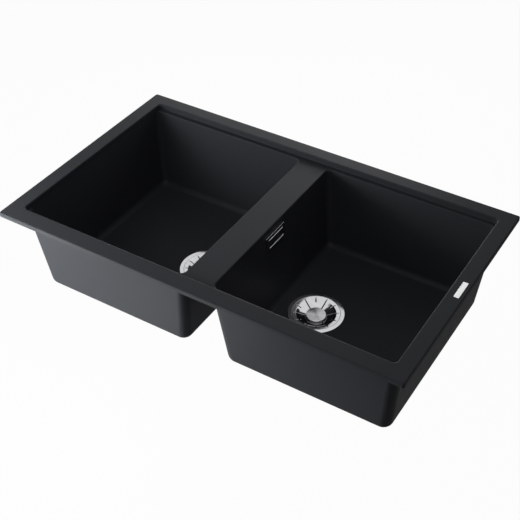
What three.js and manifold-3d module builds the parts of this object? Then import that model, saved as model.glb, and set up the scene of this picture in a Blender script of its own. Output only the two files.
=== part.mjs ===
// Drop-in double bowl kitchen sink, cast in granite composite, with a strainer waste
// in each bowl and one overflow in the right bowl.
// Millimetres, +Z up. The origin is the middle of the worktop cut-out, on the worktop's
// top surface: the rim's underside rests at z = 0, and the front of the sink faces -Y.
import * as THREE from 'three';
import { mergeVertices } from 'three/addons/utils/BufferGeometryUtils.js';
import Module from 'manifold-3d';

const wasm = await Module();
wasm.setup();

// ---- Driving dimensions -------------------------------------------------------------

const FIT_GAP = 0.3; // clearance between two pieces that touch
const OVERCUT = 1; // how far a cutter runs past the surface it cuts

// Rim
const SINK_LENGTH = 860;
const SINK_WIDTH = 508;
const RIM_THICKNESS = 10;
const RIM_CORNER_RADIUS = 4;
const RIM_TOP_ROUNDING = 2.5;
const RIM_BOTTOM_ROUNDING = 1;
const SIDE_BAND = 32;
const FRONT_BAND = 35;
const BACK_BAND = 31;

// Sunk ledge and divider
const LEDGE_DROP = 11.5; // rim top down to the ledge and the divider's top
const LEDGE_WIDTH = 11;
const STEP_TOP_ROUNDING = 2.5;
const STEP_FOOT_ROUNDING = 1.5;
const OPENING_CORNER_RADIUS = 10;
const DIVIDER_WIDTH = 64;

// Bowls
const BOWL_DEPTH = 194; // rim top down to the floor at the drain
const FLOOR_FALL = 4; // how much the floor drops from the walls to the drain
const FLOOR_THICKNESS = 9; // at the drain
const WALL = 7.5;
const WALL_DRAFT = THREE.MathUtils.degToRad(6);
const BOWL_CORNER_RADIUS = 12;
const BOWL_LIP_ROUNDING = 2;
const FLOOR_FILLET = 12;
const OUTER_BOTTOM_ROUNDING = 15;

// Name plate place on the right band, left bare
const PLATE_LENGTH = 45;
const PLATE_WIDTH = 10;
const PLATE_THICKNESS = 0.8;
const PLATE_PROUD = 0.2;
const PLATE_CORNER_RADIUS = 1;
const PLATE_SHIFT = 3; // from the middle of the band towards the outside

// Strainer waste
const DRAIN_X = 130; // drain centre from the middle of the sink
const FLANGE_WIDTH = 6.9; // flat part of the flange outside the step to the strainer's seat
const FLANGE_THICKNESS = 1.5;
const CUP_RADIUS = 44.5;
const CUP_DEPTH = 29.5;
const CUP_BEND = 3.5;
const FLOOR_HOLE_CLEARANCE = 1; // between the cup and the hole in the floor
const SEAT_WIDTH = 5.3;
const PLUG_HOLE_RADIUS = 20;
const SEAL_THICKNESS = 1.5;
const SPIDER_ARMS = 3;
const SPIDER_ARM_WIDTH = 3;
const SCREW_HUB_WALL = 4; // round the clamp screw's shank
const SCREW_HUB_HEIGHT = 4.5;

const STRAINER_THICKNESS = 1.2;
const STRAINER_BRIM = 8; // width of the flat ring round the dish
const DISH_KNEE_WIDTH = 6;
const DISH_KNEE_DEPTH = 3.5;
const DISH_FLAT_RADIUS = 20;
const DISH_DEPTH = 8;
const SLOT_COUNT = 12; // long and short slots by turns
const SLOT_WIDTH = 2.4;
const SLOT_EDGE = 3; // from a slot's outer end to the strainer's edge
const SLOT_STANDOFF = 1.5; // from the dish's flat bottom to a long slot's inner end
const GUIDE_WALL = 2.7;

const KNOB_RADIUS = 19.7;
const KNOB_SUNK = 4; // flange top down to the knob's top
const KNOB_CAP_THICKNESS = 1.6;
const KNOB_OVERHANG = 4.7;
const KNOB_EDGE = 0.6;
const STEM_RADIUS = 3;
const STEM_IN_KNOB = 2.4;
const STEM_DISC_RADIUS = 12;
const STEM_DISC_THICKNESS = 2;
const PLUG_TRAVEL = 8; // until the stem's disc meets the strainer's guide
const PLUG_SEAL_LAP = 6; // over the edge of the plug hole
const PLUG_SEAL_THICKNESS = 4.7;
const PLUG_SEAL_CHAMFER = 2;

const CLAMP_SCREW_RADIUS = 3;
const CLAMP_SCREW_HEAD_WIDTH = 2.5; // how far the head stands out round the shank
const CLAMP_SCREW_HEAD_HEIGHT = 3;
const CLAMP_SCREW_GRIP = 15; // how far the screw bites into the waste body's hub

// Waste body under the floor
const GASKET_THICKNESS = 3;
const GASKET_WIDTH = 5.5;
const BODY_WALL = 3;
const BODY_CLEARANCE = 1.5; // between the cup and the waste body's bore
const BODY_FLANGE_WIDTH = 6;
const BODY_DEPTH = 40; // body flange down to where the cone starts
const BODY_CONE_HEIGHT = 10;
const BODY_HUB_WALL = 5;
const BODY_HUB_HEIGHT = 16;
const OUTLET_RADIUS = 23.9; // crests of the 1 1/2 inch pipe thread
const OUTLET_WALL = 4.9;
const OUTLET_LENGTH = 30;
const OUTLET_CHAMFER = 1.2;

// Overflow in the divider-side wall of the right bowl
const OVERFLOW_DEPTH = 40.7; // rim top down to the middle of the cover
const COVER_LENGTH = 66;
const COVER_HEIGHT = 30;
const COVER_THICKNESS = 2.5;
const COVER_CORNER_RADIUS = 2;
const COVER_SLOT_INSET = 2; // from the ends of the hole to the ends of a slot
const COVER_SLOT_HEIGHT = 3.2;
const COVER_SLOT_EDGE = 0.1; // from the hole's long edge to a slot's
const COVER_BOSS_WALL = 2.5;
const COVER_BOSS_BITE = 15;
const COVER_END_LAP = 6; // how far the cover laps over the hole's ends
const COVER_EDGE_LAP = 4.5; // and over its long edges
const OVERFLOW_HOLE_CORNER = 4;
const OVERFLOW_SEAL_THICKNESS = 2;
const OVERFLOW_SEAL_WIDTH = 4;
const HOUSING_DEPTH = 30;
const HOUSING_WALL = 2.5;
const HOUSING_LIP = 6; // how far the housing's front flange stands out
const OVERFLOW_SCREW_RADIUS = 2;
const OVERFLOW_SCREW_HEAD_WIDTH = 3; // how far the head stands out round the shank
const OVERFLOW_SCREW_HEAD_HEIGHT = 2.5;

// Overflow hose
const HOSE_X = 9; // the hose's place in the gap between the bowls
const HOSE_BORE_RADIUS = 10;
const HOSE_WALL = 0.8;
const RIB_HEIGHT = 1.2;
const RIB_PITCH = 5;
const HOSE_CUFF = 24; // plain length at each end
const HOSE_SIDES = 8;
const RIBS_PER_BORE_RING = 2;
const SPIGOT_WALL = 2.2;
const SPIGOT_LENGTH = 22;
const INLET_BELOW_CUP = 11.5; // cup's bottom down to the middle of the overflow inlet
const CLIP_WIDTH = 9;
const CLIP_THICKNESS = 2.4;

// Facets
const CORNER_STEPS = 4;
const SIDE_STEPS = 2;
const ROUNDING_STEPS = 3;
const HOLE_SEGMENTS = 48;
const ROUND_SEGMENTS = 32;
const SMALL_SEGMENTS = 20;

// ---- Levels and places worked out from them ----------------------------------------

const rimTop = RIM_THICKNESS;
const ledgeZ = rimTop - LEDGE_DROP;
const drainZ = rimTop - BOWL_DEPTH;
const floorEdgeZ = drainZ + FLOOR_FALL;
const bodyBottomZ = drainZ - FLOOR_THICKNESS;
const collarBottomZ = ledgeZ - WALL;
const draftSlope = Math.tan(WALL_DRAFT);

const openingX = SINK_LENGTH / 2 - SIDE_BAND;
const openingFrontY = -SINK_WIDTH / 2 + FRONT_BAND;
const openingBackY = SINK_WIDTH / 2 - BACK_BAND;
const bowlFrontY = openingFrontY + LEDGE_WIDTH;
const bowlBackY = openingBackY - LEDGE_WIDTH;
const dividerX = DIVIDER_WIDTH / 2;

const cupBore = CUP_RADIUS - FLANGE_THICKNESS;
const seatRadius = cupBore + SEAT_WIDTH; // where the flange steps down to the strainer's seat
const seatZ = -STRAINER_THICKNESS - FIT_GAP; // heights of the waste are from the flange's top
const seatShoulderRadius = seatRadius + FLANGE_THICKNESS;
const flangeRadius = seatShoulderRadius + FLANGE_WIDTH;
const strainerRadius = seatRadius - FIT_GAP;
const dishRadius = strainerRadius - STRAINER_BRIM;
const dishKneeRadius = dishRadius - DISH_KNEE_WIDTH;
const slotOuterRadius = strainerRadius - SLOT_EDGE;
const cupPlateZ = -CUP_DEPTH + FLANGE_THICKNESS;
const flangeRecessDepth = FLANGE_THICKNESS + SEAL_THICKNESS + 2 * FIT_GAP;
const floorHoleRadius = CUP_RADIUS + FLOOR_HOLE_CLEARANCE;
const gasketTopZ = -FLOOR_THICKNESS - FIT_GAP;
const bodyFlangeZ = gasketTopZ - GASKET_THICKNESS - FIT_GAP;
const bodyBoreRadius = CUP_RADIUS + BODY_CLEARANCE;
const bodyOuterRadius = bodyBoreRadius + BODY_WALL;
const coneTopZ = bodyFlangeZ - BODY_DEPTH;
const coneBottomZ = coneTopZ - BODY_CONE_HEIGHT;
const outletEndZ = coneBottomZ - OUTLET_LENGTH;
const outletBoreRadius = OUTLET_RADIUS - OUTLET_WALL;
const plugSealBottomZ = cupPlateZ + FIT_GAP;
const plugSealTopZ = plugSealBottomZ + PLUG_SEAL_THICKNESS;
const plugSealRadius = PLUG_HOLE_RADIUS + PLUG_SEAL_LAP;
const stemDiscZ = plugSealTopZ + FIT_GAP;
const guideEndZ = stemDiscZ + STEM_DISC_THICKNESS + PLUG_TRAVEL + FIT_GAP;
const screwHubTopZ = plugSealBottomZ - PLUG_SEAL_CHAMFER - CLAMP_SCREW_HEAD_HEIGHT;
const screwHubRadius = CLAMP_SCREW_RADIUS + SCREW_HUB_WALL;
const bodyHubRadius = CLAMP_SCREW_RADIUS + BODY_HUB_WALL;
const bodyHubTopZ = coneTopZ;
const inletZ = -CUP_DEPTH - INLET_BELOW_CUP;
const spigotRadius = HOSE_BORE_RADIUS - FIT_GAP;
const hoseRootRadius = HOSE_BORE_RADIUS + HOSE_WALL;
const hoseRibRadius = hoseRootRadius + RIB_HEIGHT;

// ---- Materials ---------------------------------------------------------------------

function material(color, roughness, metalness) {
  return new THREE.MeshStandardMaterial({ color, roughness, metalness });
}

const granite = material(0x2b2c2e, 0.55, 0);
const polishedSteel = material(0xd4d5d8, 0.12, 1);
const brushedSteel = material(0xc9cacc, 0.35, 1);
const blackRubber = material(0x161616, 0.8, 0);
const greyPlastic = material(0x8d9092, 0.5, 0);
const whitePlastic = material(0xd9dad8, 0.45, 0);
const zincSteel = material(0xa9abae, 0.35, 1);

// ---- Geometry helpers --------------------------------------------------------------

// Merges shared points and drops triangles that have closed up.
function weld(geometry) {
  const bare = geometry.clone();
  bare.deleteAttribute('normal');
  bare.deleteAttribute('uv');
  const merged = mergeVertices(bare, 1e-4);
  const corners = merged.index.array;
  const kept = [];
  for (let i = 0; i < corners.length; i += 3) {
    const [a, b, c] = [corners[i], corners[i + 1], corners[i + 2]];
    if (a !== b && b !== c && c !== a) kept.push(a, b, c);
  }
  merged.setIndex(kept);
  return merged;
}

function signedVolume(geometry) {
  const points = geometry.attributes.position;
  const corners = geometry.index.array;
  const [a, b, c] = [new THREE.Vector3(), new THREE.Vector3(), new THREE.Vector3()];
  let volume = 0;
  for (let i = 0; i < corners.length; i += 3) {
    a.fromBufferAttribute(points, corners[i]);
    b.fromBufferAttribute(points, corners[i + 1]);
    c.fromBufferAttribute(points, corners[i + 2]);
    volume += a.dot(b.cross(c)) / 6;
  }
  return volume;
}

function turnOutward(geometry) {
  if (signedVolume(geometry) < 0) geometry.setIndex([...geometry.index.array].reverse());
  return geometry;
}

function toSolid(geometry) {
  const closed = turnOutward(weld(geometry));
  const vertProperties = new Float32Array(closed.attributes.position.array);
  const triVerts = new Uint32Array(closed.index.array);
  return new wasm.Manifold(new wasm.Mesh({ numProp: 3, vertProperties, triVerts }));
}

function toGeometry(solid) {
  const { numProp, vertProperties, triVerts } = solid.getMesh();
  const positions = [];
  for (let i = 0; i < vertProperties.length; i += numProp) {
    positions.push(vertProperties[i], vertProperties[i + 1], vertProperties[i + 2]);
  }
  const geometry = new THREE.BufferGeometry();
  geometry.setAttribute('position', new THREE.Float32BufferAttribute(positions, 3));
  geometry.setIndex([...triVerts]);
  geometry.computeVertexNormals();
  return geometry;
}

function toMesh(name, solid, look) {
  const mesh = new THREE.Mesh(toGeometry(solid), look);
  mesh.name = name;
  return mesh;
}

// One level of a loft: a rectangle with rounded corners, as points in order.
function roundedRing({ x0, x1, y0, y1, radius, z }) {
  const corners = [
    [x1 - radius, y1 - radius, 0],
    [x0 + radius, y1 - radius, 90],
    [x0 + radius, y0 + radius, 180],
    [x1 - radius, y0 + radius, 270],
  ];
  const arcs = corners.map(([cx, cy, start]) => {
    const points = [];
    for (let i = 0; i <= CORNER_STEPS; i++) {
      const angle = THREE.MathUtils.degToRad(start + (90 * i) / CORNER_STEPS);
      const [dx, dy] = [radius * Math.cos(angle), radius * Math.sin(angle)];
      points.push(new THREE.Vector3(cx + dx, cy + dy, z));
    }
    return points;
  });
  const ring = [];
  arcs.forEach((arc, i) => {
    ring.push(...arc);
    const next = arcs[(i + 1) % arcs.length][0];
    const last = arc[arc.length - 1];
    for (let k = 1; k < SIDE_STEPS; k++) ring.push(last.clone().lerp(next, k / SIDE_STEPS));
  });
  return ring;
}

// A circle whose points lie in the directions of another ring's points.
function circleFacing(ring, centre, radius, z) {
  return ring.map((point) => {
    const angle = Math.atan2(point.y - centre.y, point.x - centre.x);
    const [dx, dy] = [radius * Math.cos(angle), radius * Math.sin(angle)];
    return new THREE.Vector3(centre.x + dx, centre.y + dy, z);
  });
}

// A closed solid through rings that all have the same number of points.
function loft(rings) {
  const count = rings[0].length;
  const positions = rings.flat().flatMap((point) => [point.x, point.y, point.z]);
  const corners = [];
  for (let level = 0; level < rings.length - 1; level++) {
    for (let i = 0; i < count; i++) {
      const [a, b] = [level * count + i, level * count + ((i + 1) % count)];
      corners.push(a, b, b + count, a, b + count, a + count);
    }
  }
  const last = (rings.length - 1) * count;
  for (let i = 1; i < count - 1; i++) {
    corners.push(0, i + 1, i);
    corners.push(last, last + i, last + i + 1);
  }
  const geometry = new THREE.BufferGeometry();
  geometry.setAttribute('position', new THREE.Float32BufferAttribute(positions, 3));
  geometry.setIndex(corners);
  return toSolid(geometry);
}

// A solid of revolution about Z, from a closed outline of [radius, height] points.
function turned(outline, segments) {
  const closed = [...outline, outline[0]];
  const profile = closed.map(([radius, height]) => new THREE.Vector2(radius, height));
  const geometry = new THREE.LatheGeometry(profile, segments);
  geometry.rotateX(Math.PI / 2);
  return toSolid(geometry);
}

function ringSolid(innerRadius, outerRadius, bottomZ, topZ, segments) {
  return turned([
    [innerRadius, bottomZ],
    [outerRadius, bottomZ],
    [outerRadius, topZ],
    [innerRadius, topZ],
  ], segments);
}

function discSolid(radius, bottomZ, topZ, segments) {
  return ringSolid(0, radius, bottomZ, topZ, segments);
}

function boxSolid(x0, x1, y0, y1, z0, z1) {
  const geometry = new THREE.BoxGeometry(x1 - x0, y1 - y0, z1 - z0);
  geometry.translate((x0 + x1) / 2, (y0 + y1) / 2, (z0 + z1) / 2);
  return toSolid(geometry);
}

// A plate that stands across X: its outline is in Y and Z, with rounded corners.
function uprightPlate(length, height, radius, x0, x1) {
  const [half, rise] = [length / 2, height / 2];
  const shape = new THREE.Shape();
  shape.absarc(half - radius, rise - radius, radius, 0, Math.PI / 2);
  shape.absarc(radius - half, rise - radius, radius, Math.PI / 2, Math.PI);
  shape.absarc(radius - half, radius - rise, radius, Math.PI, 1.5 * Math.PI);
  shape.absarc(half - radius, radius - rise, radius, 1.5 * Math.PI, 2 * Math.PI);
  const options = { depth: x1 - x0, bevelEnabled: false, curveSegments: CORNER_STEPS };
  const geometry = new THREE.ExtrudeGeometry(shape, options);
  geometry.applyMatrix4(new THREE.Matrix4().set(0, 0, 1, x0, 1, 0, 0, 0, 0, 1, 0, 0, 0, 0, 0, 1));
  return toSolid(geometry);
}

// A round bar along X.
function barAlongX(radius, x0, x1, y, z) {
  const geometry = new THREE.CylinderGeometry(radius, radius, x1 - x0, SMALL_SEGMENTS);
  geometry.rotateZ(Math.PI / 2);
  geometry.translate((x0 + x1) / 2, y, z);
  return toSolid(geometry);
}

// Flat arms from a hub to the wall round it.
function spiderArms(innerRadius, outerRadius, bottomZ, topZ) {
  const half = SPIDER_ARM_WIDTH / 2;
  let arms = null;
  for (let i = 0; i < SPIDER_ARMS; i++) {
    const arm = boxSolid(innerRadius, outerRadius, -half, half, bottomZ, topZ);
    const placed = arm.rotate([0, 0, (360 / SPIDER_ARMS) * i]);
    arms = arms ? arms.add(placed) : placed;
  }
  return arms;
}

// Points of a quarter round of a given radius: each one's distance from the two faces
// that the round joins, starting on the first face.
function quarterRound(radius, steps = ROUNDING_STEPS) {
  const points = [];
  for (let i = 0; i <= steps; i++) {
    const angle = (Math.PI / 2) * (i / steps);
    points.push([radius * (1 - Math.cos(angle)), radius * (1 - Math.sin(angle))]);
  }
  return points;
}

// ---- Sink body ---------------------------------------------------------------------

function rimSlab() {
  const level = (inset, z) => roundedRing({
    x0: -SINK_LENGTH / 2 + inset,
    x1: SINK_LENGTH / 2 - inset,
    y0: -SINK_WIDTH / 2 + inset,
    y1: SINK_WIDTH / 2 - inset,
    radius: RIM_CORNER_RADIUS,
    z,
  });
  const rings = [level(RIM_BOTTOM_ROUNDING, 0), level(0, RIM_BOTTOM_ROUNDING)];
  for (const [inset, drop] of quarterRound(RIM_TOP_ROUNDING)) {
    rings.push(level(inset, rimTop - drop));
  }
  return loft(rings);
}

// The solid band under the rim that carries the ledges, the divider and both bowls.
function collar() {
  const level = (z) => roundedRing({
    x0: -openingX - WALL,
    x1: openingX + WALL,
    y0: openingFrontY - WALL,
    y1: openingBackY + WALL,
    radius: OPENING_CORNER_RADIUS + WALL,
    z,
  });
  return loft([level(collarBottomZ), level(RIM_THICKNESS / 2)]);
}

// The sunk opening down to the ledges, rounded at its top edge and along the ledges' feet.
function openingCutter() {
  const level = (outset, z, footInset = 0) => roundedRing({
    x0: -openingX - outset,
    x1: openingX + outset,
    y0: openingFrontY - outset + footInset,
    y1: openingBackY + outset - footInset,
    radius: OPENING_CORNER_RADIUS,
    z,
  });
  const rings = [level(STEP_TOP_ROUNDING, rimTop + OVERCUT)];
  for (const [drop, outset] of quarterRound(STEP_TOP_ROUNDING)) {
    rings.push(level(outset, rimTop - drop));
  }
  rings.push(level(0, ledgeZ + STEP_FOOT_ROUNDING));
  rings.push(level(0, ledgeZ, STEP_FOOT_ROUNDING));
  return loft(rings);
}

// A ring round one bowl's inside at a height, widened by an offset. The far side, next to
// the rim, can have an offset of its own.
function bowlRing(side, offset, z, farOffset = offset) {
  const lean = Math.max(ledgeZ - z, 0) * draftSlope;
  const inset = lean - offset;
  const [near, far] = [dividerX + inset, openingX - lean + farOffset];
  return roundedRing({
    x0: side > 0 ? near : -far,
    x1: side > 0 ? far : -near,
    y0: bowlFrontY + inset,
    y1: bowlBackY - inset,
    radius: BOWL_CORNER_RADIUS + Math.max(offset, 0),
    z,
  });
}

function bowlShell(side) {
  const rings = [bowlRing(side, WALL, ledgeZ)];
  for (const [inset, rise] of quarterRound(OUTER_BOTTOM_ROUNDING, CORNER_STEPS)) {
    rings.push(bowlRing(side, WALL - inset, bodyBottomZ + rise));
  }
  return loft(rings);
}

function bowlCutter(side) {
  const rings = [bowlRing(side, 0, ledgeZ)];
  for (const [inset, rise] of quarterRound(FLOOR_FILLET, CORNER_STEPS)) {
    rings.push(bowlRing(side, -inset, floorEdgeZ + rise));
  }
  const centre = new THREE.Vector2(side * DRAIN_X, 0);
  rings.push(circleFacing(rings[rings.length - 1], centre, flangeRadius + FIT_GAP, drainZ));
  return loft(rings);
}

// The mouth of a bowl, from inside the opening down to the bowl, with a rounded lip on the
// three sides that meet a ledge or the divider.
function mouthCutter(side) {
  const rings = [bowlRing(side, BOWL_LIP_ROUNDING, ledgeZ + OVERCUT, 0)];
  for (const [drop, outset] of quarterRound(BOWL_LIP_ROUNDING, 2)) {
    rings.push(bowlRing(side, outset, ledgeZ - drop, 0));
  }
  return loft(rings);
}

function drainCutter(side) {
  const recess = discSolid(flangeRadius + FIT_GAP, -flangeRecessDepth, OVERCUT, HOLE_SEGMENTS);
  const hole = discSolid(floorHoleRadius, -FLOOR_THICKNESS - OVERCUT, 0, HOLE_SEGMENTS);
  return recess.add(hole).translate([side * DRAIN_X, 0, drainZ]);
}

function plateRing(grow, z) {
  const middle = SINK_LENGTH / 2 - SIDE_BAND / 2 + PLATE_SHIFT;
  return roundedRing({
    x0: middle - PLATE_WIDTH / 2 - grow,
    x1: middle + PLATE_WIDTH / 2 + grow,
    y0: -PLATE_LENGTH / 2 - grow,
    y1: PLATE_LENGTH / 2 + grow,
    radius: PLATE_CORNER_RADIUS + grow,
    z,
  });
}

const plateBottomZ = rimTop + PLATE_PROUD - PLATE_THICKNESS;

function platePocket() {
  return loft([plateRing(FIT_GAP, plateBottomZ - FIT_GAP), plateRing(FIT_GAP, rimTop + OVERCUT)]);
}

function sinkBody() {
  let body = rimSlab().add(collar());
  for (const side of [-1, 1]) body = body.add(bowlShell(side));
  body = body.subtract(openingCutter());
  for (const side of [-1, 1]) {
    body = body.subtract(mouthCutter(side));
    body = body.subtract(bowlCutter(side));
    body = body.subtract(drainCutter(side));
  }
  body = body.subtract(platePocket());
  return body.subtract(onOverflowWall(overflowHole()));
}

function rimPlate() {
  return loft([plateRing(0, plateBottomZ), plateRing(0, rimTop + PLATE_PROUD)]);
}

// ---- Strainer waste, with heights from the flange's top -------------------------------

function drainFlange() {
  const rimEdge = FLANGE_THICKNESS / 3;
  const cup = turned([
    [seatRadius, 0],
    [flangeRadius - rimEdge, 0],
    [flangeRadius, -rimEdge],
    [flangeRadius, -FLANGE_THICKNESS],
    [seatShoulderRadius, -FLANGE_THICKNESS],
    [seatShoulderRadius, seatZ - FLANGE_THICKNESS],
    [CUP_RADIUS, seatZ - FLANGE_THICKNESS],
    [CUP_RADIUS, -CUP_DEPTH + CUP_BEND],
    [CUP_RADIUS - CUP_BEND, -CUP_DEPTH],
    [PLUG_HOLE_RADIUS, -CUP_DEPTH],
    [PLUG_HOLE_RADIUS, cupPlateZ],
    [cupBore - CUP_BEND, cupPlateZ],
    [cupBore, cupPlateZ + CUP_BEND],
    [cupBore, seatZ],
    [seatRadius, seatZ],
  ], ROUND_SEGMENTS);
  const hubBottomZ = screwHubTopZ - SCREW_HUB_HEIGHT;
  const armTopZ = cupPlateZ - FLANGE_THICKNESS / 2;
  const armEndRadius = PLUG_HOLE_RADIUS + SPIDER_ARM_WIDTH;
  const arms = spiderArms(screwHubRadius - 1, armEndRadius, hubBottomZ, armTopZ);
  const hub = discSolid(screwHubRadius, hubBottomZ, screwHubTopZ, SMALL_SEGMENTS);
  const headRoom = discSolid(screwHubRadius, screwHubTopZ, 0, SMALL_SEGMENTS);
  const screwHole = discSolid(CLAMP_SCREW_RADIUS + FIT_GAP, -2 * CUP_DEPTH, 0, SMALL_SEGMENTS);
  return cup.add(arms).subtract(headRoom).add(hub).subtract(screwHole);
}

function flangeSeal() {
  const topZ = -FLANGE_THICKNESS - FIT_GAP;
  const innerRadius = seatShoulderRadius + FIT_GAP;
  return ringSolid(innerRadius, flangeRadius, topZ - SEAL_THICKNESS, topZ, ROUND_SEGMENTS);
}

function wasteGasket() {
  const outerRadius = bodyBoreRadius + GASKET_WIDTH;
  const bottomZ = gasketTopZ - GASKET_THICKNESS;
  return ringSolid(bodyBoreRadius, outerRadius, bottomZ, gasketTopZ, ROUND_SEGMENTS);
}

function wasteBody(hasOverflowInlet) {
  const shell = turned([
    [bodyBoreRadius, bodyFlangeZ],
    [bodyBoreRadius, coneTopZ],
    [outletBoreRadius, coneBottomZ],
    [outletBoreRadius, outletEndZ],
    [OUTLET_RADIUS - OUTLET_CHAMFER, outletEndZ],
    [OUTLET_RADIUS, outletEndZ + OUTLET_CHAMFER],
    [OUTLET_RADIUS, coneBottomZ - BODY_WALL / 2],
    [bodyOuterRadius, coneTopZ - BODY_WALL / 2],
    [bodyOuterRadius, bodyFlangeZ - BODY_WALL],
    [bodyBoreRadius + BODY_FLANGE_WIDTH, bodyFlangeZ - BODY_WALL],
    [bodyBoreRadius + BODY_FLANGE_WIDTH, bodyFlangeZ],
  ], SMALL_SEGMENTS);
  const hubBottomZ = bodyHubTopZ - BODY_HUB_HEIGHT;
  const hub = discSolid(bodyHubRadius, hubBottomZ, bodyHubTopZ, SMALL_SEGMENTS);
  const armEndRadius = outletBoreRadius + BODY_WALL / 2;
  const arms = spiderArms(bodyHubRadius - 1, armEndRadius, hubBottomZ, coneBottomZ);
  const screwHole = discSolid(CLAMP_SCREW_RADIUS + FIT_GAP, 2 * outletEndZ, 0, SMALL_SEGMENTS);
  let body = shell.add(hub).add(arms).subtract(screwHole);
  if (hasOverflowInlet) {
    const wallX = -(bodyBoreRadius + BODY_WALL / 2);
    body = body.add(barAlongX(spigotRadius, -bodyOuterRadius - SPIGOT_LENGTH, wallX, 0, inletZ));
    const bore = spigotRadius - SPIGOT_WALL;
    const endX = -bodyOuterRadius - SPIGOT_LENGTH - OVERCUT;
    body = body.subtract(barAlongX(bore, endX, wallX + BODY_WALL, 0, inletZ));
  }
  return body;
}

function clampScrew() {
  const seat = screwHubTopZ + FIT_GAP;
  return turned([
    [0, seat + CLAMP_SCREW_HEAD_HEIGHT - FIT_GAP],
    [CLAMP_SCREW_RADIUS + CLAMP_SCREW_HEAD_WIDTH, seat + CLAMP_SCREW_HEAD_HEIGHT - FIT_GAP],
    [CLAMP_SCREW_RADIUS + CLAMP_SCREW_HEAD_WIDTH, seat],
    [CLAMP_SCREW_RADIUS, seat],
    [CLAMP_SCREW_RADIUS, bodyHubTopZ - CLAMP_SCREW_GRIP],
    [0, bodyHubTopZ - CLAMP_SCREW_GRIP],
  ], SMALL_SEGMENTS);
}

function strainer() {
  const thin = STRAINER_THICKNESS;
  const guideBore = STEM_RADIUS + FIT_GAP;
  const guideRadius = guideBore + GUIDE_WALL;
  let dish = turned([
    [strainerRadius, 0],
    [strainerRadius, -thin],
    [dishRadius - thin / 3, -thin],
    [dishKneeRadius - thin / 3, -DISH_KNEE_DEPTH - thin],
    [DISH_FLAT_RADIUS - thin / 3, -DISH_DEPTH - thin],
    [guideRadius, -DISH_DEPTH - thin],
    [guideRadius, guideEndZ],
    [guideBore, guideEndZ],
    [guideBore, -DISH_DEPTH],
    [DISH_FLAT_RADIUS, -DISH_DEPTH],
    [dishKneeRadius, -DISH_KNEE_DEPTH],
    [dishRadius, 0],
  ], ROUND_SEGMENTS);
  for (let i = 0; i < SLOT_COUNT; i++) {
    const innerRadius = i % 2 ? DISH_FLAT_RADIUS + SLOT_STANDOFF : dishKneeRadius;
    const half = SLOT_WIDTH / 2;
    const slot = boxSolid(innerRadius, slotOuterRadius, -half, half, -2 * DISH_DEPTH, OVERCUT);
    dish = dish.subtract(slot.rotate([0, 0, (360 / SLOT_COUNT) * i]));
  }
  return dish;
}

const knobBottomZ = -DISH_DEPTH + FIT_GAP;
const stemTopZ = knobBottomZ + STEM_IN_KNOB - FIT_GAP;

function plugKnob() {
  const bore = STEM_RADIUS + FIT_GAP;
  return turned([
    [0, -KNOB_SUNK],
    [KNOB_RADIUS - KNOB_EDGE, -KNOB_SUNK],
    [KNOB_RADIUS, -KNOB_SUNK - KNOB_EDGE],
    [KNOB_RADIUS, -KNOB_SUNK - KNOB_CAP_THICKNESS],
    [KNOB_RADIUS - KNOB_OVERHANG, -KNOB_SUNK - KNOB_CAP_THICKNESS],
    [KNOB_RADIUS - KNOB_OVERHANG, knobBottomZ],
    [bore, knobBottomZ],
    [bore, knobBottomZ + STEM_IN_KNOB],
    [0, knobBottomZ + STEM_IN_KNOB],
  ], ROUND_SEGMENTS);
}

function plugStem() {
  return turned([
    [0, stemTopZ],
    [STEM_RADIUS, stemTopZ],
    [STEM_RADIUS, stemDiscZ + STEM_DISC_THICKNESS],
    [STEM_DISC_RADIUS, stemDiscZ + STEM_DISC_THICKNESS],
    [STEM_DISC_RADIUS, stemDiscZ],
    [STEM_RADIUS, stemDiscZ],
    [STEM_RADIUS, plugSealBottomZ + FIT_GAP],
    [0, plugSealBottomZ + FIT_GAP],
  ], SMALL_SEGMENTS);
}

function plugSeal() {
  const bore = STEM_RADIUS + FIT_GAP;
  return turned([
    [bore, plugSealBottomZ],
    [plugSealRadius, plugSealBottomZ],
    [plugSealRadius, plugSealTopZ - PLUG_SEAL_CHAMFER],
    [plugSealRadius - PLUG_SEAL_CHAMFER, plugSealTopZ],
    [bore, plugSealTopZ],
  ], ROUND_SEGMENTS);
}

function wasteGroup(side) {
  const prefix = side > 0 ? 'right' : 'left';
  const group = new THREE.Group();
  group.position.set(side * DRAIN_X, 0, drainZ);
  group.add(
    toMesh(`${prefix}_drain_flange`, drainFlange(), polishedSteel),
    toMesh(`${prefix}_flange_seal`, flangeSeal(), blackRubber),
    toMesh(`${prefix}_waste_gasket`, wasteGasket(), blackRubber),
    toMesh(`${prefix}_waste_body`, wasteBody(side > 0), whitePlastic),
    toMesh(`${prefix}_clamp_screw`, clampScrew(), zincSteel),
    toMesh(`${prefix}_strainer`, strainer(), polishedSteel),
    toMesh(`${prefix}_plug_knob`, plugKnob(), brushedSteel),
    toMesh(`${prefix}_plug_stem`, plugStem(), zincSteel),
    toMesh(`${prefix}_plug_seal`, plugSeal(), blackRubber),
  );
  return group;
}

// ---- Overflow, in the frame of the wall it sits on -------------------------------------
// There +X points out of the wall into the bowl, +Z runs up the wall, and x = 0 is its face.

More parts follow.
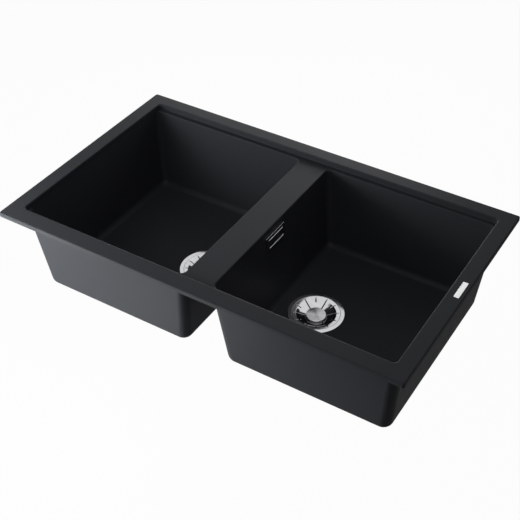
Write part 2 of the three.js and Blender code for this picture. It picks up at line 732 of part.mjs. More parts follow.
const overflowZ = rimTop - OVERFLOW_DEPTH;
const overflowX = dividerX + (ledgeZ - overflowZ) * draftSlope;
const wallNormalThickness = WALL * Math.cos(WALL_DRAFT);
const overflowSealFrontX = -wallNormalThickness - FIT_GAP;
const housingFrontX = overflowSealFrontX - OVERFLOW_SEAL_THICKNESS - FIT_GAP;
const housingBackX = housingFrontX - HOUSING_DEPTH;
const holeLength = COVER_LENGTH - 2 * COVER_END_LAP;
const holeHeight = COVER_HEIGHT - 2 * COVER_EDGE_LAP;
const housingHeight = holeHeight + 2 * HOUSING_WALL;
const housingLength = holeLength + 2 * HOUSING_WALL;
const bossEndX = housingBackX + HOUSING_WALL + FIT_GAP;

function onOverflowWall(solid) {
  const lean = -THREE.MathUtils.radToDeg(WALL_DRAFT);
  return solid.rotate([0, lean, 0]).translate([overflowX, 0, overflowZ]);
}

function overflowHole() {
  const backX = -wallNormalThickness - OVERCUT;
  const [length, height] = [holeLength, holeHeight];
  return uprightPlate(length, height, OVERFLOW_HOLE_CORNER, backX, OVERCUT);
}

function overflowCover() {
  const frontX = FIT_GAP + COVER_THICKNESS;
  let cover = uprightPlate(COVER_LENGTH, COVER_HEIGHT, COVER_CORNER_RADIUS, FIT_GAP, frontX);
  const half = COVER_SLOT_HEIGHT / 2;
  const slotZ = holeHeight / 2 - COVER_SLOT_EDGE - half;
  for (const z of [-slotZ, slotZ]) {
    const reach = holeLength / 2 - COVER_SLOT_INSET;
    cover = cover.subtract(boxSolid(-OVERCUT, frontX + OVERCUT, -reach, reach, z - half, z + half));
  }
  const bossRadius = OVERFLOW_SCREW_RADIUS + COVER_BOSS_WALL;
  cover = cover.add(barAlongX(bossRadius, bossEndX, FIT_GAP + COVER_THICKNESS / 2, 0, 0));
  const biteEndX = bossEndX + COVER_BOSS_BITE;
  const bite = barAlongX(OVERFLOW_SCREW_RADIUS + FIT_GAP, bossEndX - OVERCUT, biteEndX, 0, 0);
  return onOverflowWall(cover.subtract(bite));
}

function overflowSeal() {
  const backX = overflowSealFrontX - OVERFLOW_SEAL_THICKNESS;
  const frontX = overflowSealFrontX;
  const corner = OVERFLOW_HOLE_CORNER;
  const [length, height] = [holeLength, holeHeight];
  const widened = [length + 2 * OVERFLOW_SEAL_WIDTH, height + 2 * OVERFLOW_SEAL_WIDTH];
  const outer = uprightPlate(...widened, corner, backX, frontX);
  const inner = uprightPlate(length, height, corner, backX - OVERCUT, frontX + OVERCUT);
  return onOverflowWall(outer.subtract(inner));
}

const housingHalf = (housingHeight / 2) * Math.cos(WALL_DRAFT);
const housingLowestZ = overflowZ - housingHalf + housingBackX * Math.sin(WALL_DRAFT);
const hoseTopZ = housingLowestZ - FIT_GAP;

function overflowHousing() {
  const corner = OVERFLOW_HOLE_CORNER;
  const lipSize = [housingLength + HOUSING_LIP, housingHeight + HOUSING_LIP];
  const box = uprightPlate(housingLength, housingHeight, corner, housingBackX, housingFrontX);
  const lip = uprightPlate(...lipSize, corner, housingFrontX - HOUSING_WALL, housingFrontX);
  const spigotEndZ = hoseTopZ - SPIGOT_LENGTH;
  const spigotTopZ = overflowZ - holeHeight / 2;
  const spigot = discSolid(spigotRadius, spigotEndZ, spigotTopZ, SMALL_SEGMENTS);
  const insideCorner = corner - HOUSING_WALL / 2;
  const insideBackX = housingBackX + HOUSING_WALL;
  const holeSize = [holeLength, holeHeight];
  const hollow = uprightPlate(...holeSize, insideCorner, insideBackX, housingFrontX + OVERCUT);
  const holeRadius = OVERFLOW_SCREW_RADIUS + FIT_GAP;
  const screwHole = barAlongX(holeRadius, housingBackX - OVERCUT, bossEndX, 0, 0);
  const boreRadius = spigotRadius - SPIGOT_WALL;
  const bore = discSolid(boreRadius, spigotEndZ - OVERCUT, overflowZ, SMALL_SEGMENTS);
  return onOverflowWall(box.add(lip))
    .add(spigot.translate([HOSE_X, 0, 0]))
    .subtract(onOverflowWall(hollow.add(screwHole)))
    .subtract(bore.translate([HOSE_X, 0, 0]));
}

function overflowScrew() {
  const headX = housingBackX - FIT_GAP;
  const headEndX = headX - OVERFLOW_SCREW_HEAD_HEIGHT;
  const head = barAlongX(OVERFLOW_SCREW_RADIUS + OVERFLOW_SCREW_HEAD_WIDTH, headEndX, headX, 0, 0);
  const tipX = bossEndX + COVER_BOSS_BITE - FIT_GAP;
  return onOverflowWall(head.add(barAlongX(OVERFLOW_SCREW_RADIUS, headX - OVERCUT, tipX, 0, 0)));
}

// ---- Overflow hose: down the gap between the bowls, then across to the right waste -------

const hoseEndX = DRAIN_X - bodyOuterRadius - BODY_WALL;
const hoseLevelZ = drainZ + inletZ;
const hoseBendRadius = hoseEndX - HOSE_X - HOSE_CUFF;
const hoseBendTopZ = hoseLevelZ + hoseBendRadius;
const hoseDrop = hoseTopZ - hoseBendTopZ;
const hoseArc = (Math.PI / 2) * hoseBendRadius;
const hoseLength = hoseDrop + hoseArc + HOSE_CUFF;

// The point of the hose's middle line at a distance from its top, and its direction there.
function hoseAt(distance) {
  if (distance <= hoseDrop) {
    return { x: HOSE_X, z: hoseTopZ - distance, turn: 0 };
  }
  if (distance >= hoseDrop + hoseArc) {
    const run = distance - hoseDrop - hoseArc;
    return { x: HOSE_X + hoseBendRadius + run, z: hoseLevelZ, turn: Math.PI / 2 };
  }
  const turn = (distance - hoseDrop) / hoseBendRadius;
  return {
    x: HOSE_X + hoseBendRadius * (1 - Math.cos(turn)),
    z: hoseBendTopZ - hoseBendRadius * Math.sin(turn),
    turn,
  };
}

function hoseRing(distance, radius) {
  const { x, z, turn } = hoseAt(distance);
  const ring = [];
  for (let i = 0; i < HOSE_SIDES; i++) {
    const angle = ((i + 0.5) / HOSE_SIDES) * 2 * Math.PI;
    const across = radius * Math.cos(angle);
    const y = radius * Math.sin(angle);
    ring.push(new THREE.Vector3(x + across * Math.cos(turn), y, z + across * Math.sin(turn)));
  }
  return ring;
}

function overflowHose() {
  // The hose's corners stand out so that its flats clear the round spigots.
  const corner = 1 / Math.cos(Math.PI / HOSE_SIDES);
  const rootRing = (distance) => hoseRing(distance, hoseRootRadius * corner);
  const ribRing = (distance) => hoseRing(distance, hoseRibRadius * corner);
  const boreRing = (distance) => hoseRing(distance, HOSE_BORE_RADIUS * corner);
  const ribCount = Math.floor((hoseLength - 2 * HOSE_CUFF) / RIB_PITCH);
  const ribStart = (hoseLength - ribCount * RIB_PITCH) / 2;
  const outside = [rootRing(0)];
  const inside = [boreRing(0)];
  for (let i = 0; i < ribCount; i++) {
    const start = ribStart + i * RIB_PITCH;
    outside.push(rootRing(start), ribRing(start + RIB_PITCH / 2));
    if (i % RIBS_PER_BORE_RING === 0) inside.push(boreRing(start));
  }
  outside.push(rootRing(hoseLength - ribStart), rootRing(hoseLength));
  inside.push(boreRing(hoseLength - ribStart), boreRing(hoseLength));
  return closedTube([...outside, ...inside.reverse()]);
}

// Joins rings into a closed tube wall: each to the next, and the last to the first.
function closedTube(rings) {
  const count = rings[0].length;
  const positions = rings.flat().flatMap((point) => [point.x, point.y, point.z]);
  const corners = [];
  rings.forEach((ring, level) => {
    const here = level * count;
    const there = ((level + 1) % rings.length) * count;
    for (let i = 0; i < count; i++) {
      const next = (i + 1) % count;
      corners.push(here + i, here + next, there + next, here + i, there + next, there + i);
    }
  });
  const geometry = new THREE.BufferGeometry();
  geometry.setAttribute('position', new THREE.Float32BufferAttribute(positions, 3));
  geometry.setIndex(corners);
  return toSolid(geometry);
}

// A clip round the hose's plain end, in the hose's own direction.
function hoseClip(distance) {
  const { x, z, turn } = hoseAt(distance);
  const inner = (hoseRootRadius + FIT_GAP) / Math.cos(Math.PI / HOSE_SIDES);
  const half = CLIP_WIDTH / 2;
  const clip = ringSolid(inner, inner + CLIP_THICKNESS, -half, half, SMALL_SEGMENTS);
  return clip.rotate([0, -THREE.MathUtils.radToDeg(turn), 0]).translate([x, 0, z]);
}

function overflowGroup() {
  const group = new THREE.Group();
  const clipPlace = SPIGOT_LENGTH / 2;
  group.add(
    toMesh('overflow_cover', overflowCover(), polishedSteel),
    toMesh('overflow_seal', overflowSeal(), blackRubber),
    toMesh('overflow_housing', overflowHousing(), whitePlastic),
    toMesh('overflow_screw', overflowScrew(), zincSteel),
    toMesh('overflow_hose', overflowHose(), greyPlastic),
    toMesh('overflow_clip_upper', hoseClip(clipPlace), zincSteel),
    toMesh('overflow_clip_lower', hoseClip(hoseLength - clipPlace), zincSteel),
  );
  return group;
}

// ---- Assembly ----------------------------------------------------------------------

const sink = new THREE.Group();
sink.name = 'double_bowl_sink';
sink.add(toMesh('sink_body', sinkBody(), granite));
sink.add(toMesh('rim_plate', rimPlate(), brushedSteel));
for (const side of [-1, 1]) sink.add(wasteGroup(side));
sink.add(overflowGroup());

export default sink;
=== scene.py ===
import math

import bmesh
import bpy
from mathutils import Matrix, Vector


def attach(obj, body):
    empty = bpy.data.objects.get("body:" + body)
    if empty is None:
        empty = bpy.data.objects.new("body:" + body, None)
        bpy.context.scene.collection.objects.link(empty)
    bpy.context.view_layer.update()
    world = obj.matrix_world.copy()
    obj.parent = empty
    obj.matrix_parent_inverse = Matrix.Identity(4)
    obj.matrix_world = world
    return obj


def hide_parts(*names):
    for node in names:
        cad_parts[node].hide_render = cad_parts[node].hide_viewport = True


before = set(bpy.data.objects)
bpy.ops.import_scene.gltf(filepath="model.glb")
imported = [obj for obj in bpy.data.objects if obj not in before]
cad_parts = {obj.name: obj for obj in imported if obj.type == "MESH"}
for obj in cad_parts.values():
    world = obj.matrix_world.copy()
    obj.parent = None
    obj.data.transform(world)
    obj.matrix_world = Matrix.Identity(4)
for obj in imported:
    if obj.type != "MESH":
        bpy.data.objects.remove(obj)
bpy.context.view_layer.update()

# ---- Sizes in millimetres ----

MM = 0.001
GAP = 0.3  # clearance between pieces
OVERCUT = 1.0  # how far a cutter reaches past what it cuts
ON_AXIS = 1e-6
SAME_POINT = 1e-7  # in metres

SINK_LENGTH = 860.0
SINK_WIDTH = 508.0
RIM_TOP = 10.0
RIM_CORNER = 4.0
RIM_TOP_ROUNDING = 2.5
RIM_BOTTOM_ROUNDING = 1.0
SIDE_BAND = 32.0
FRONT_BAND = 35.0
BACK_BAND = 31.0

LEDGE_Z = -1.5
LEDGE_WIDTH = 11.0
STEP_ROUNDING = 2.5
STEP_FOOT = 1.5
OPENING_CORNER = 10.0
DIVIDER_WIDTH = 64.0

DRAIN_Z = -184.0
FLOOR_FALL = 4.0
FLOOR_THICKNESS = 9.0
WALL = 7.5
DRAFT = math.radians(6.0)
BOWL_CORNER = 12.0
LIP_ROUNDING = 2.0
FLOOR_FILLET = 12.0
OUTER_BOTTOM_ROUNDING = 15.0
DRAIN_X = 130.0

FLANGE_RADIUS = 56.7
FLANGE_THICKNESS = 1.5
CUP_RADIUS = 44.5
CUP_DEPTH = 29.5
SEAT_RADIUS = 48.3
SEAT_Z = -1.5
PLUG_HOLE_RADIUS = 20.0
SEAL_THICKNESS = 1.5
STRAINER_THICKNESS = 1.2
BRIM_FALL = 0.7
DISH_RADIUS = 40.0
KNEE_RADIUS = 34.0
KNEE_DEPTH = 3.5
DISH_FLAT_RADIUS = 20.0
DISH_DEPTH = 8.0
KNOB_RADIUS = 19.7
KNOB_SUNK = 4.0
KNOB_THICKNESS = 1.6
KNOB_OVERHANG = 4.7
KNOB_SOCKET = 2.4
KNOB_BOTTOM_Z = -DISH_DEPTH + GAP
SLOT_COUNT = 12
SLOT_WIDTH = 1.9
SLOT_START = 1.5  # from the dish's flat to a long slot
SLOT_END = 3.0  # from a slot to the brim's edge
SLOT_ROLL = 0.65
SLOT_ROLL_RISE = 0.06
STRAINER_GAP = 0.12
STRAINER_TURN = 1.1  # in degrees: no row of its points lies on a slot's middle line
GUIDE_WALL = 2.7
STEM_RADIUS = 3.0
STEM_TOP_Z = KNOB_BOTTOM_Z + KNOB_SOCKET - GAP
STEM_DISC_RADIUS = 12.0
STEM_DISC_THICKNESS = 2.0
PLUG_SEAL_THICKNESS = 4.7
PLUG_SEAL_OVERLAP = 6.0
PLUG_TRAVEL = 8.0
CUP_PLATE_Z = -CUP_DEPTH + FLANGE_THICKNESS
PLUG_SEAL_BOTTOM_Z = CUP_PLATE_Z + GAP
STEM_DISC_Z = PLUG_SEAL_BOTTOM_Z + PLUG_SEAL_THICKNESS + GAP
GUIDE_END_Z = STEM_DISC_Z + STEM_DISC_THICKNESS + PLUG_TRAVEL + GAP
SCREW_RADIUS = 3.0
SCREW_PITCH = 1.0
SCREW_HEAD_RADIUS = 5.5
SCREW_HEAD_RISE = 3.0
SCREW_REACH = 15.0
ARM_WIDTH = 3.0
HUB_RADIUS = 7.0
HUB_TOP_Z = PLUG_SEAL_BOTTOM_Z - 5.0
HUB_BOTTOM_Z = HUB_TOP_Z - 4.5
GASKET_THICKNESS = 3.0
GASKET_WIDTH = 5.5
WASTE_BORE = CUP_RADIUS + 1.5
WASTE_RADIUS = WASTE_BORE + 3.0
WASTE_COLLAR = 3.0
WASTE_HUB_RADIUS = 8.0
WASTE_HUB_HEIGHT = 16.0
BODY_TOP_Z = -FLOOR_THICKNESS - GASKET_THICKNESS - 2 * GAP
CONE_TOP_Z = BODY_TOP_Z - 40.0
CONE_BOTTOM_Z = CONE_TOP_Z - 10.0
OUTLET_END_Z = CONE_BOTTOM_Z - 30.0
OUTLET_RADIUS = 23.9
OUTLET_WALL = 4.9
OUTLET_PITCH = 2.309
OUTLET_THREAD_DEPTH = 1.2
THREAD_REACH = 0.6  # how far from its shank a point still takes the thread
INLET_Z = -CUP_DEPTH - 11.5

PLATE_LENGTH = 45.0
PLATE_WIDTH = 10.0
PLATE_THICKNESS = 0.8
PLATE_PROUD = 0.2
PLATE_CORNER = 1.0
PLATE_SHIFT = 3.0
FLOOR_STEPS = 6

OVERFLOW_Z = RIM_TOP - 40.7
OVERFLOW_X = DIVIDER_WIDTH / 2 + (LEDGE_Z - OVERFLOW_Z) * math.tan(DRAFT)
COVER_LENGTH = 66.0
COVER_HEIGHT = 30.0
COVER_THICKNESS = 2.5
COVER_SLOT = 3.2
COVER_SLOT_ROLL = 0.8
HOLE_LENGTH = COVER_LENGTH - 12.0
HOLE_HEIGHT = COVER_HEIGHT - 9.0
HOLE_CORNER = 4.0
OVERFLOW_SCREW_RADIUS = 2.0
OVERFLOW_SEAL_THICKNESS = 2.0
SEAL_OVERLAP = 8.0
LIP_OVERLAP = 6.0
SEAL_FRONT_X = -WALL * math.cos(DRAFT) - GAP
HOUSING_WALL = 2.5
HOUSING_FRONT_X = SEAL_FRONT_X - OVERFLOW_SEAL_THICKNESS - GAP
HOUSING_BACK_X = HOUSING_FRONT_X - 30.0
HOUSING_CORNER = 2.75
BOSS_WALL = 2.5
BOSS_END_X = HOUSING_BACK_X + HOUSING_WALL + GAP
BOSS_BORE_DEPTH = 15.0

HOSE_X = 9.0
HOSE_BORE = 10.0
HOSE_ROOT = HOSE_BORE + 0.8
HOSE_CREST = HOSE_ROOT + 1.2
HOSE_CUFF = 24.0
HOSE_SIDES = 32
HOSE_END_GAP = 3.0
CUFF_RADIUS = 11.6
RIB_PITCH = 5.0
RIB_STEPS = 8
SPIGOT_RADIUS = HOSE_BORE - GAP
SPIGOT_LENGTH = 22.0
SPIGOT_WALL = 2.2
BARB_COUNT = 4
BARB_START = 0.8
BARB_PITCH = 4.2
# How far along the spigot and how far below its surface each point of a barb lies.
BARB = [(0.0, 0.7), (2.6, 0.0), (3.1, 0.0), (3.5, 0.6)]
CLIP_WIDTH = 9.0
CLIP_BORE = 12.02
CLIP_RADIUS = 14.2
CLIP_ROLL = 0.2
CLIP_GROOVES = 36
CLIP_GROOVE_DEPTH = 0.35
HOUSING_HALF = (HOLE_HEIGHT / 2 + HOUSING_WALL) * math.cos(DRAFT)
HOSE_TOP_Z = OVERFLOW_Z - HOUSING_HALF + HOUSING_BACK_X * math.sin(DRAFT) - GAP
HOSE_LEVEL_Z = DRAIN_Z + INLET_Z
HOSE_BEND = DRAIN_X - WASTE_RADIUS - HOSE_END_GAP - HOSE_X - HOSE_CUFF
HOSE_DROP = HOSE_TOP_Z - HOSE_LEVEL_Z - HOSE_BEND
HOSE_ARC = math.pi / 2 * HOSE_BEND
HOSE_LENGTH = HOSE_DROP + HOSE_ARC + HOSE_CUFF

# ---- Mesh helpers ----


def new_object(name, data):
    """A new object in the scene."""
    thing = bpy.data.objects.new(name, data)
    bpy.context.scene.collection.objects.link(thing)
    return thing


def make_piece(name, points, faces):
    """A mesh object from points in millimetres."""
    mesh = bpy.data.meshes.new(name)
    mesh.from_pydata([tuple(c * MM for c in point) for point in points], [], faces)
    mesh.validate()
    return new_object(name, mesh)


def settle(piece):
    """Applies the piece's modifiers."""
    depsgraph = bpy.context.evaluated_depsgraph_get()
    mesh = bpy.data.meshes.new_from_object(piece.evaluated_get(depsgraph))
    piece.modifiers.clear()
    worn_out, piece.data = piece.data, mesh
    bpy.data.meshes.remove(worn_out)


def combine(piece, tool, operation):
    """Joins or cuts the piece with a tool, which is used up."""
    modifier = piece.modifiers.new("combine", "BOOLEAN")
    modifier.operation = operation
    modifier.solver = "EXACT"
    modifier.object = tool
    settle(piece)
    bpy.data.objects.remove(tool)


def add(piece, tool):
    """Joins a tool to the piece."""
    combine(piece, tool, "UNION")


def cut(piece, tool):
    """Cuts a tool out of the piece."""
    combine(piece, tool, "DIFFERENCE")


def soften(piece, angle=35.0, bevel=0.0):
    """Bevels the piece's sharp edges, if asked, and shades it smooth between them."""
    if bevel:
        modifier = piece.modifiers.new("edges", "BEVEL")
        modifier.width = bevel * MM
        modifier.segments = 2
        modifier.limit_method = "ANGLE"
        modifier.angle_limit = math.radians(angle)
        settle(piece)
    mesh = piece.data
    mesh.polygons.foreach_set("use_smooth", [True] * len(mesh.polygons))
    mesh.set_sharp_from_angle(angle=math.radians(angle))
    weighted = piece.modifiers.new("normals", "WEIGHTED_NORMAL")
    weighted.keep_sharp = True
    weighted.weight = 100
    settle(piece)


def move(piece, x=0.0, y=0.0, z=0.0, lean=0.0):
    """Turns the piece's mesh about Y by lean, then moves it, all in the mesh itself."""
    turn = Matrix.Rotation(lean, 4, "Y")
    piece.data.transform(Matrix.Translation(Vector((x, y, z)) * MM) @ turn)
    piece.data.update()
    return piece


def rotate(piece, degrees, axis="Z"):
    """Turns the piece's mesh about an axis."""
    piece.data.transform(Matrix.Rotation(math.radians(degrees), 4, axis))
    return piece


def rounded_ring(x0, x1, y0, y1, radius, z, corner_steps=10, side_steps=8):
    """Points round a rectangle with rounded corners."""
    centres = [
        (x1 - radius, y1 - radius, 0.0),
        (x0 + radius, y1 - radius, 90.0),
        (x0 + radius, y0 + radius, 180.0),
        (x1 - radius, y0 + radius, 270.0),
    ]
    arcs = []
    for cx, cy, start in centres:
        arc = []
        for i in range(corner_steps + 1):
            angle = math.radians(start + 90.0 * i / corner_steps)
            arc.append((cx + radius * math.cos(angle), cy + radius * math.sin(angle), z))
        arcs.append(arc)
    ring = []
    for i, arc in enumerate(arcs):
        ring += arc
        start, end = arc[-1], arcs[(i + 1) % 4][0]
        for k in range(1, side_steps):
            share = k / side_steps
            ring.append(tuple(a + (b - a) * share for a, b in zip(start, end)))
    return ring


def loft(name, rings):
    """A closed solid through rings that have the same number of points."""
    count = len(rings[0])
    points = [point for ring in rings for point in ring]
    faces = []
    for level in range(len(rings) - 1):
        low, high = level * count, (level + 1) * count
        for i in range(count):
            k = (i + 1) % count
            faces.append((low + i, low + k, high + k, high + i))
    faces.append(tuple(range(count - 1, -1, -1)))
    last = (len(rings) - 1) * count
    faces.append(tuple(range(last, last + count)))
    if rings[-1][0][2] < rings[0][0][2]:
        faces = [face[::-1] for face in faces]
    return make_piece(name, points, faces)


def quarter_round(radius, steps=6):
    """Distances from the two faces that a quarter round joins, from the first face on."""
    points = []
    for i in range(steps + 1):
        angle = math.pi / 2 * i / steps
        points.append((radius * (1 - math.cos(angle)), radius * (1 - math.sin(angle))))
    return points


def filleted(outline, steps=4):
    """A closed outline with its corners rounded. Each corner is (radius, height, fillet)."""
    rounded = []
    count = len(outline)
    for i, (r, z, fillet) in enumerate(outline):
        here = Vector((r, z))
        before = Vector(outline[i - 1][:2]) - here
        after = Vector(outline[(i + 1) % count][:2]) - here
        if fillet <= 0:
            rounded.append((r, z))
            continue
        half = before.angle(after) / 2
        reach = min(fillet / math.tan(half), 0.49 * before.length, 0.49 * after.length)
        start, end = here + before.normalized() * reach, here + after.normalized() * reach
        for k in range(steps + 1):
            share = k / steps
            point = start.lerp(here, share).lerp(here.lerp(end, share), share)
            rounded.append((point.x, point.y))
    return rounded


def turned(name, outline, segments=96, shape=None):
    """A solid of revolution about Z. shape can change a point's radius by its angle."""
    points = []
    for i in range(segments):
        angle = 2 * math.pi * i / segments
        for r, z in outline:
            radius = shape(r, z, angle) if shape else r
            points.append((radius * math.cos(angle), radius * math.sin(angle), z))
    count = len(outline)
    faces = []
    for i in range(segments):
        here, there = i * count, ((i + 1) % segments) * count
        for k in range(count):
            n = (k + 1) % count
            face = [here + k, here + n]
            face += [there + j for j in (n, k) if outline[j][0] >= ON_AXIS]
            if len(face) > 2:
                faces.append(face)
    piece = make_piece(name, points, faces)
    weld(piece)
    return piece


def turned_part(name, corners, segments=96, sharp=35.0):
    """A turned piece with a filleted outline and softened shading."""
    piece = turned(name, filleted(corners), segments)
    soften(piece, sharp)
    return piece


def weld(piece):
    """Merges points that lie together and turns the faces outwards."""
    shape = bmesh.new()
    shape.from_mesh(piece.data)
    bmesh.ops.remove_doubles(shape, verts=shape.verts, dist=SAME_POINT)
    bmesh.ops.dissolve_degenerate(shape, edges=shape.edges, dist=SAME_POINT / 10)
    bmesh.ops.recalc_face_normals(shape, faces=shape.faces)
    shape.to_mesh(piece.data)
    shape.free()


def gather(pieces):
    """Makes one mesh object of several that lie apart."""
    shape = bmesh.new()
    for piece in pieces:
        shape.from_mesh(piece.data)
    shape.to_mesh(pieces[0].data)
    shape.free()
    for piece in pieces[1:]:
        bpy.data.objects.remove(piece)
    return pieces[0]


def finish_piece(piece, body, finish, *nodes):
    """Gives a piece its body and the look of its finish, and hides the CAD nodes that it
    stands for.
    """
    slot, look = finish
    piece.data.materials.clear()
    piece.data.materials.append(look)
    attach(piece, body)
    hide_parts(*nodes)


# ---- Materials ----


NOISE_LOW, NOISE_HIGH = 0.3, 0.7  # the span that a noise mostly covers
METAL = {"Metallic": 1.0}


def set_inputs(tree, node, inputs):
    """Gives a node's inputs plain values, or links them to sockets."""
    for name, value in inputs.items():
        if isinstance(value, bpy.types.NodeSocket):
            tree.links.new(value, node.inputs[name])
        else:
            node.inputs[name].default_value = value


def make_node(tree, kind, inputs=None, **settings):
    """A shader node with its settings and inputs."""
    node = tree.nodes.new("ShaderNode" + kind)
    for name, value in settings.items():
        setattr(node, name, value)
    set_inputs(tree, node, inputs or {})
    return node


def new_look(name, inputs=None):
    """A new material, its node tree and its shader."""
    look = bpy.data.materials.new(name)
    look.use_nodes = True
    shader = look.node_tree.nodes["Principled BSDF"]
    set_inputs(look.node_tree, shader, inputs or {})
    return look, look.node_tree, shader


def object_noise(tree, scale, detail=3.0, roughness=0.5, stretch=(1.0, 1.0, 1.0)):
    """Noise fixed to the piece, with scale in bumps per metre."""
    place = make_node(tree, "TexCoord").outputs["Object"]
    mapping = make_node(tree, "Mapping", {"Vector": place, "Scale": stretch})
    noise = make_node(tree, "TexNoise", {
        "Vector": mapping.outputs["Vector"],
        "Scale": scale,
        "Detail": detail,
        "Roughness": roughness,
    })
    return noise.outputs["Fac"]


def math_node(tree, operation, *values):
    """The result of a Math node, from sockets or plain numbers."""
    node = make_node(tree, "Math", dict(enumerate(values)), operation=operation)
    return node.outputs["Value"]


def paint(tree, shader, factor, stops):
    """Colours the surface by a factor, from (position, colour) stops."""
    ramp = make_node(tree, "ValToRGB", {"Fac": factor})
    elements = ramp.color_ramp.elements
    while len(elements) < len(stops):
        elements.new(0.5)
    for element, (position, colour) in zip(elements, stops):
        element.position = position
        element.color = (*colour, 1.0)
    set_inputs(tree, shader, {"Base Color": ramp.outputs["Color"]})


def roughen(tree, shader, factor, low, high):
    """Roughness that runs from low to high with a noise."""
    mapped = make_node(tree, "MapRange", {
        "Value": factor,
        "From Min": NOISE_LOW,
        "From Max": NOISE_HIGH,
        "To Min": low,
        "To Max": high,
    })
    set_inputs(tree, shader, {"Roughness": mapped.outputs["Result"]})


def raise_bump(tree, shader, height, depth_mm, strength):
    """A bump on the surface from a height factor."""
    depth = depth_mm * MM
    bump = make_node(tree, "Bump", {"Height": height, "Distance": depth, "Strength": strength})
    set_inputs(tree, shader, {"Normal": bump.outputs["Normal"]})


def granite_look():
    """Quartz grains in dark resin: silky matt, with faint specks and a fine tooth."""
    look, tree, shader = new_look("granite_composite", {"Specular IOR Level": 0.05})
    grains = object_noise(tree, 900.0, 2.0, 0.6)
    specks = [
        (0.0, (0.0375, 0.0402, 0.0450)),
        (0.52, (0.0410, 0.0438, 0.0492)),
        (0.66, (0.0450, 0.0480, 0.0536)),
        (0.76, (0.0540, 0.0575, 0.0636)),
    ]
    paint(tree, shader, grains, specks)
    patches = object_noise(tree, 60.0)
    roughen(tree, shader, patches, 0.42, 0.48)
    raise_bump(tree, shader, object_noise(tree, 1600.0, 2.0), 0.03, 0.2)
    return look


def polished_steel_look():
    """Mirror-polished stainless steel with a few faint wipe marks."""
    look, tree, shader = new_look("polished_steel", METAL)
    cloud = object_noise(tree, 70.0, 4.0)
    tones = [(0.3, (0.56, 0.565, 0.575)), (0.7, (0.62, 0.625, 0.635))]
    paint(tree, shader, cloud, tones)
    wipes = object_noise(tree, 220.0, stretch=(1.0, 6.0, 1.0))
    roughen(tree, shader, wipes, 0.05, 0.11)
    raise_bump(tree, shader, wipes, 0.004, 0.15)
    return look


def spun_steel_look():
    """Steel turned on a lathe: fine rings round either knob's middle, and soft light and dark
    wedges of painted highlight in its colour.
    """
    look, tree, shader = new_look("knob_steel", METAL | {"Anisotropic": 0.85})
    lathe = make_node(tree, "Tangent", direction_type="RADIAL", axis="Z")
    set_inputs(tree, shader, {"Tangent": lathe.outputs["Tangent"]})
    place = make_node(tree, "TexCoord").outputs["Object"]
    either_side = make_node(tree, "VectorMath", {0: place}, operation="ABSOLUTE")
    knob_middle = {0: either_side.outputs["Vector"], 1: (DRAIN_X * MM, 0.0, 0.0)}
    offset = make_node(tree, "VectorMath", knob_middle, operation="SUBTRACT")
    centred = offset.outputs["Vector"]
    parts = make_node(tree, "SeparateXYZ", {"Vector": centred})
    angle = math_node(tree, "ARCTAN2", parts.outputs["Y"], parts.outputs["X"])
    painted_highlight_wedge_inputs = {"W": angle, "Scale": 1.6, "Detail": 4.0}
    painted_highlight_wedges = make_node(tree, "TexNoise", painted_highlight_wedge_inputs, noise_dimensions="1D")
    ring_inputs = {"Vector": centred, "Scale": 260.0, "Distortion": 0.6}
    rings = make_node(tree, "TexWave", ring_inputs, wave_type="RINGS", rings_direction="Z")
    tones = [(0.3, (0.54, 0.545, 0.55)), (0.7, (0.70, 0.705, 0.715))]
    # The colour runs light and dark in wedges round the knob's middle: painted highlight
    # streaks of spun steel, not a tone of the metal.
    paint(tree, shader, painted_highlight_wedges.outputs["Fac"], tones)
    roughen(tree, shader, rings.outputs["Fac"], 0.26, 0.32)
    raise_bump(tree, shader, rings.outputs["Fac"], 0.01, 0.15)
    return look


def plate_look():
    """Satin stainless steel, brushed along the plate."""
    look, tree, shader = new_look("plate_steel", METAL)
    streaks = object_noise(tree, 900.0, 3.0, 0.6, stretch=(1.0, 0.04, 1.0))
    tones = [(0.3, (0.63, 0.635, 0.64)), (0.7, (0.71, 0.715, 0.72))]
    paint(tree, shader, streaks, tones)
    roughen(tree, shader, streaks, 0.30, 0.42)
    raise_bump(tree, shader, streaks, 0.01, 0.3)
    return look


def zinc_look():
    """Bright zinc plating with a cloudy lustre."""
    look, tree, shader = new_look("zinc_steel", METAL)
    cloud = object_noise(tree, 400.0)
    tones = [(0.3, (0.46, 0.47, 0.49)), (0.7, (0.62, 0.63, 0.65))]
    paint(tree, shader, cloud, tones)
    roughen(tree, shader, cloud, 0.24, 0.38)
    raise_bump(tree, shader, object_noise(tree, 1500.0, 2.0), 0.01, 0.2)
    return look


def rubber_look():
    """Matt black rubber with a dusty bloom."""
    look, tree, shader = new_look("black_rubber")
    bloom = object_noise(tree, 250.0, 4.0)
    tones = [(0.35, (0.010, 0.010, 0.011)), (0.75, (0.026, 0.026, 0.027))]
    paint(tree, shader, bloom, tones)
    roughen(tree, shader, bloom, 0.62, 0.78)
    raise_bump(tree, shader, object_noise(tree, 2200.0, 2.0), 0.02, 0.4)
    return look


def plastic_look(name, dark, light, roughness):
    """Moulded plastic with a faint spark-eroded texture."""
    look, tree, shader = new_look(name)
    cloud = object_noise(tree, 45.0)
    tones = [(0.3, dark), (0.7, light)]
    paint(tree, shader, cloud, tones)
    roughen(tree, shader, cloud, roughness, roughness + 0.08)
    raise_bump(tree, shader, object_noise(tree, 1800.0, 2.0), 0.015, 0.3)
    return look


# Each finish is the name of a material slot and the look that it gets here.
granite = ("granite_composite", granite_look())
polished_steel = ("polished_steel", polished_steel_look())
knob_steel = ("brushed_steel", spun_steel_look())
plate_steel = ("brushed_steel", plate_look())
zinc_steel = ("zinc_steel", zinc_look())
black_rubber = ("black_rubber", rubber_look())
white_plastic = ("white_plastic", plastic_look(
    "white_plastic", (0.70, 0.71, 0.70), (0.78, 0.785, 0.775), 0.36))
grey_plastic = ("grey_plastic", plastic_look(
    "grey_plastic", (0.25, 0.26, 0.265), (0.30, 0.31, 0.315), 0.42))

# ---- Sink body ----

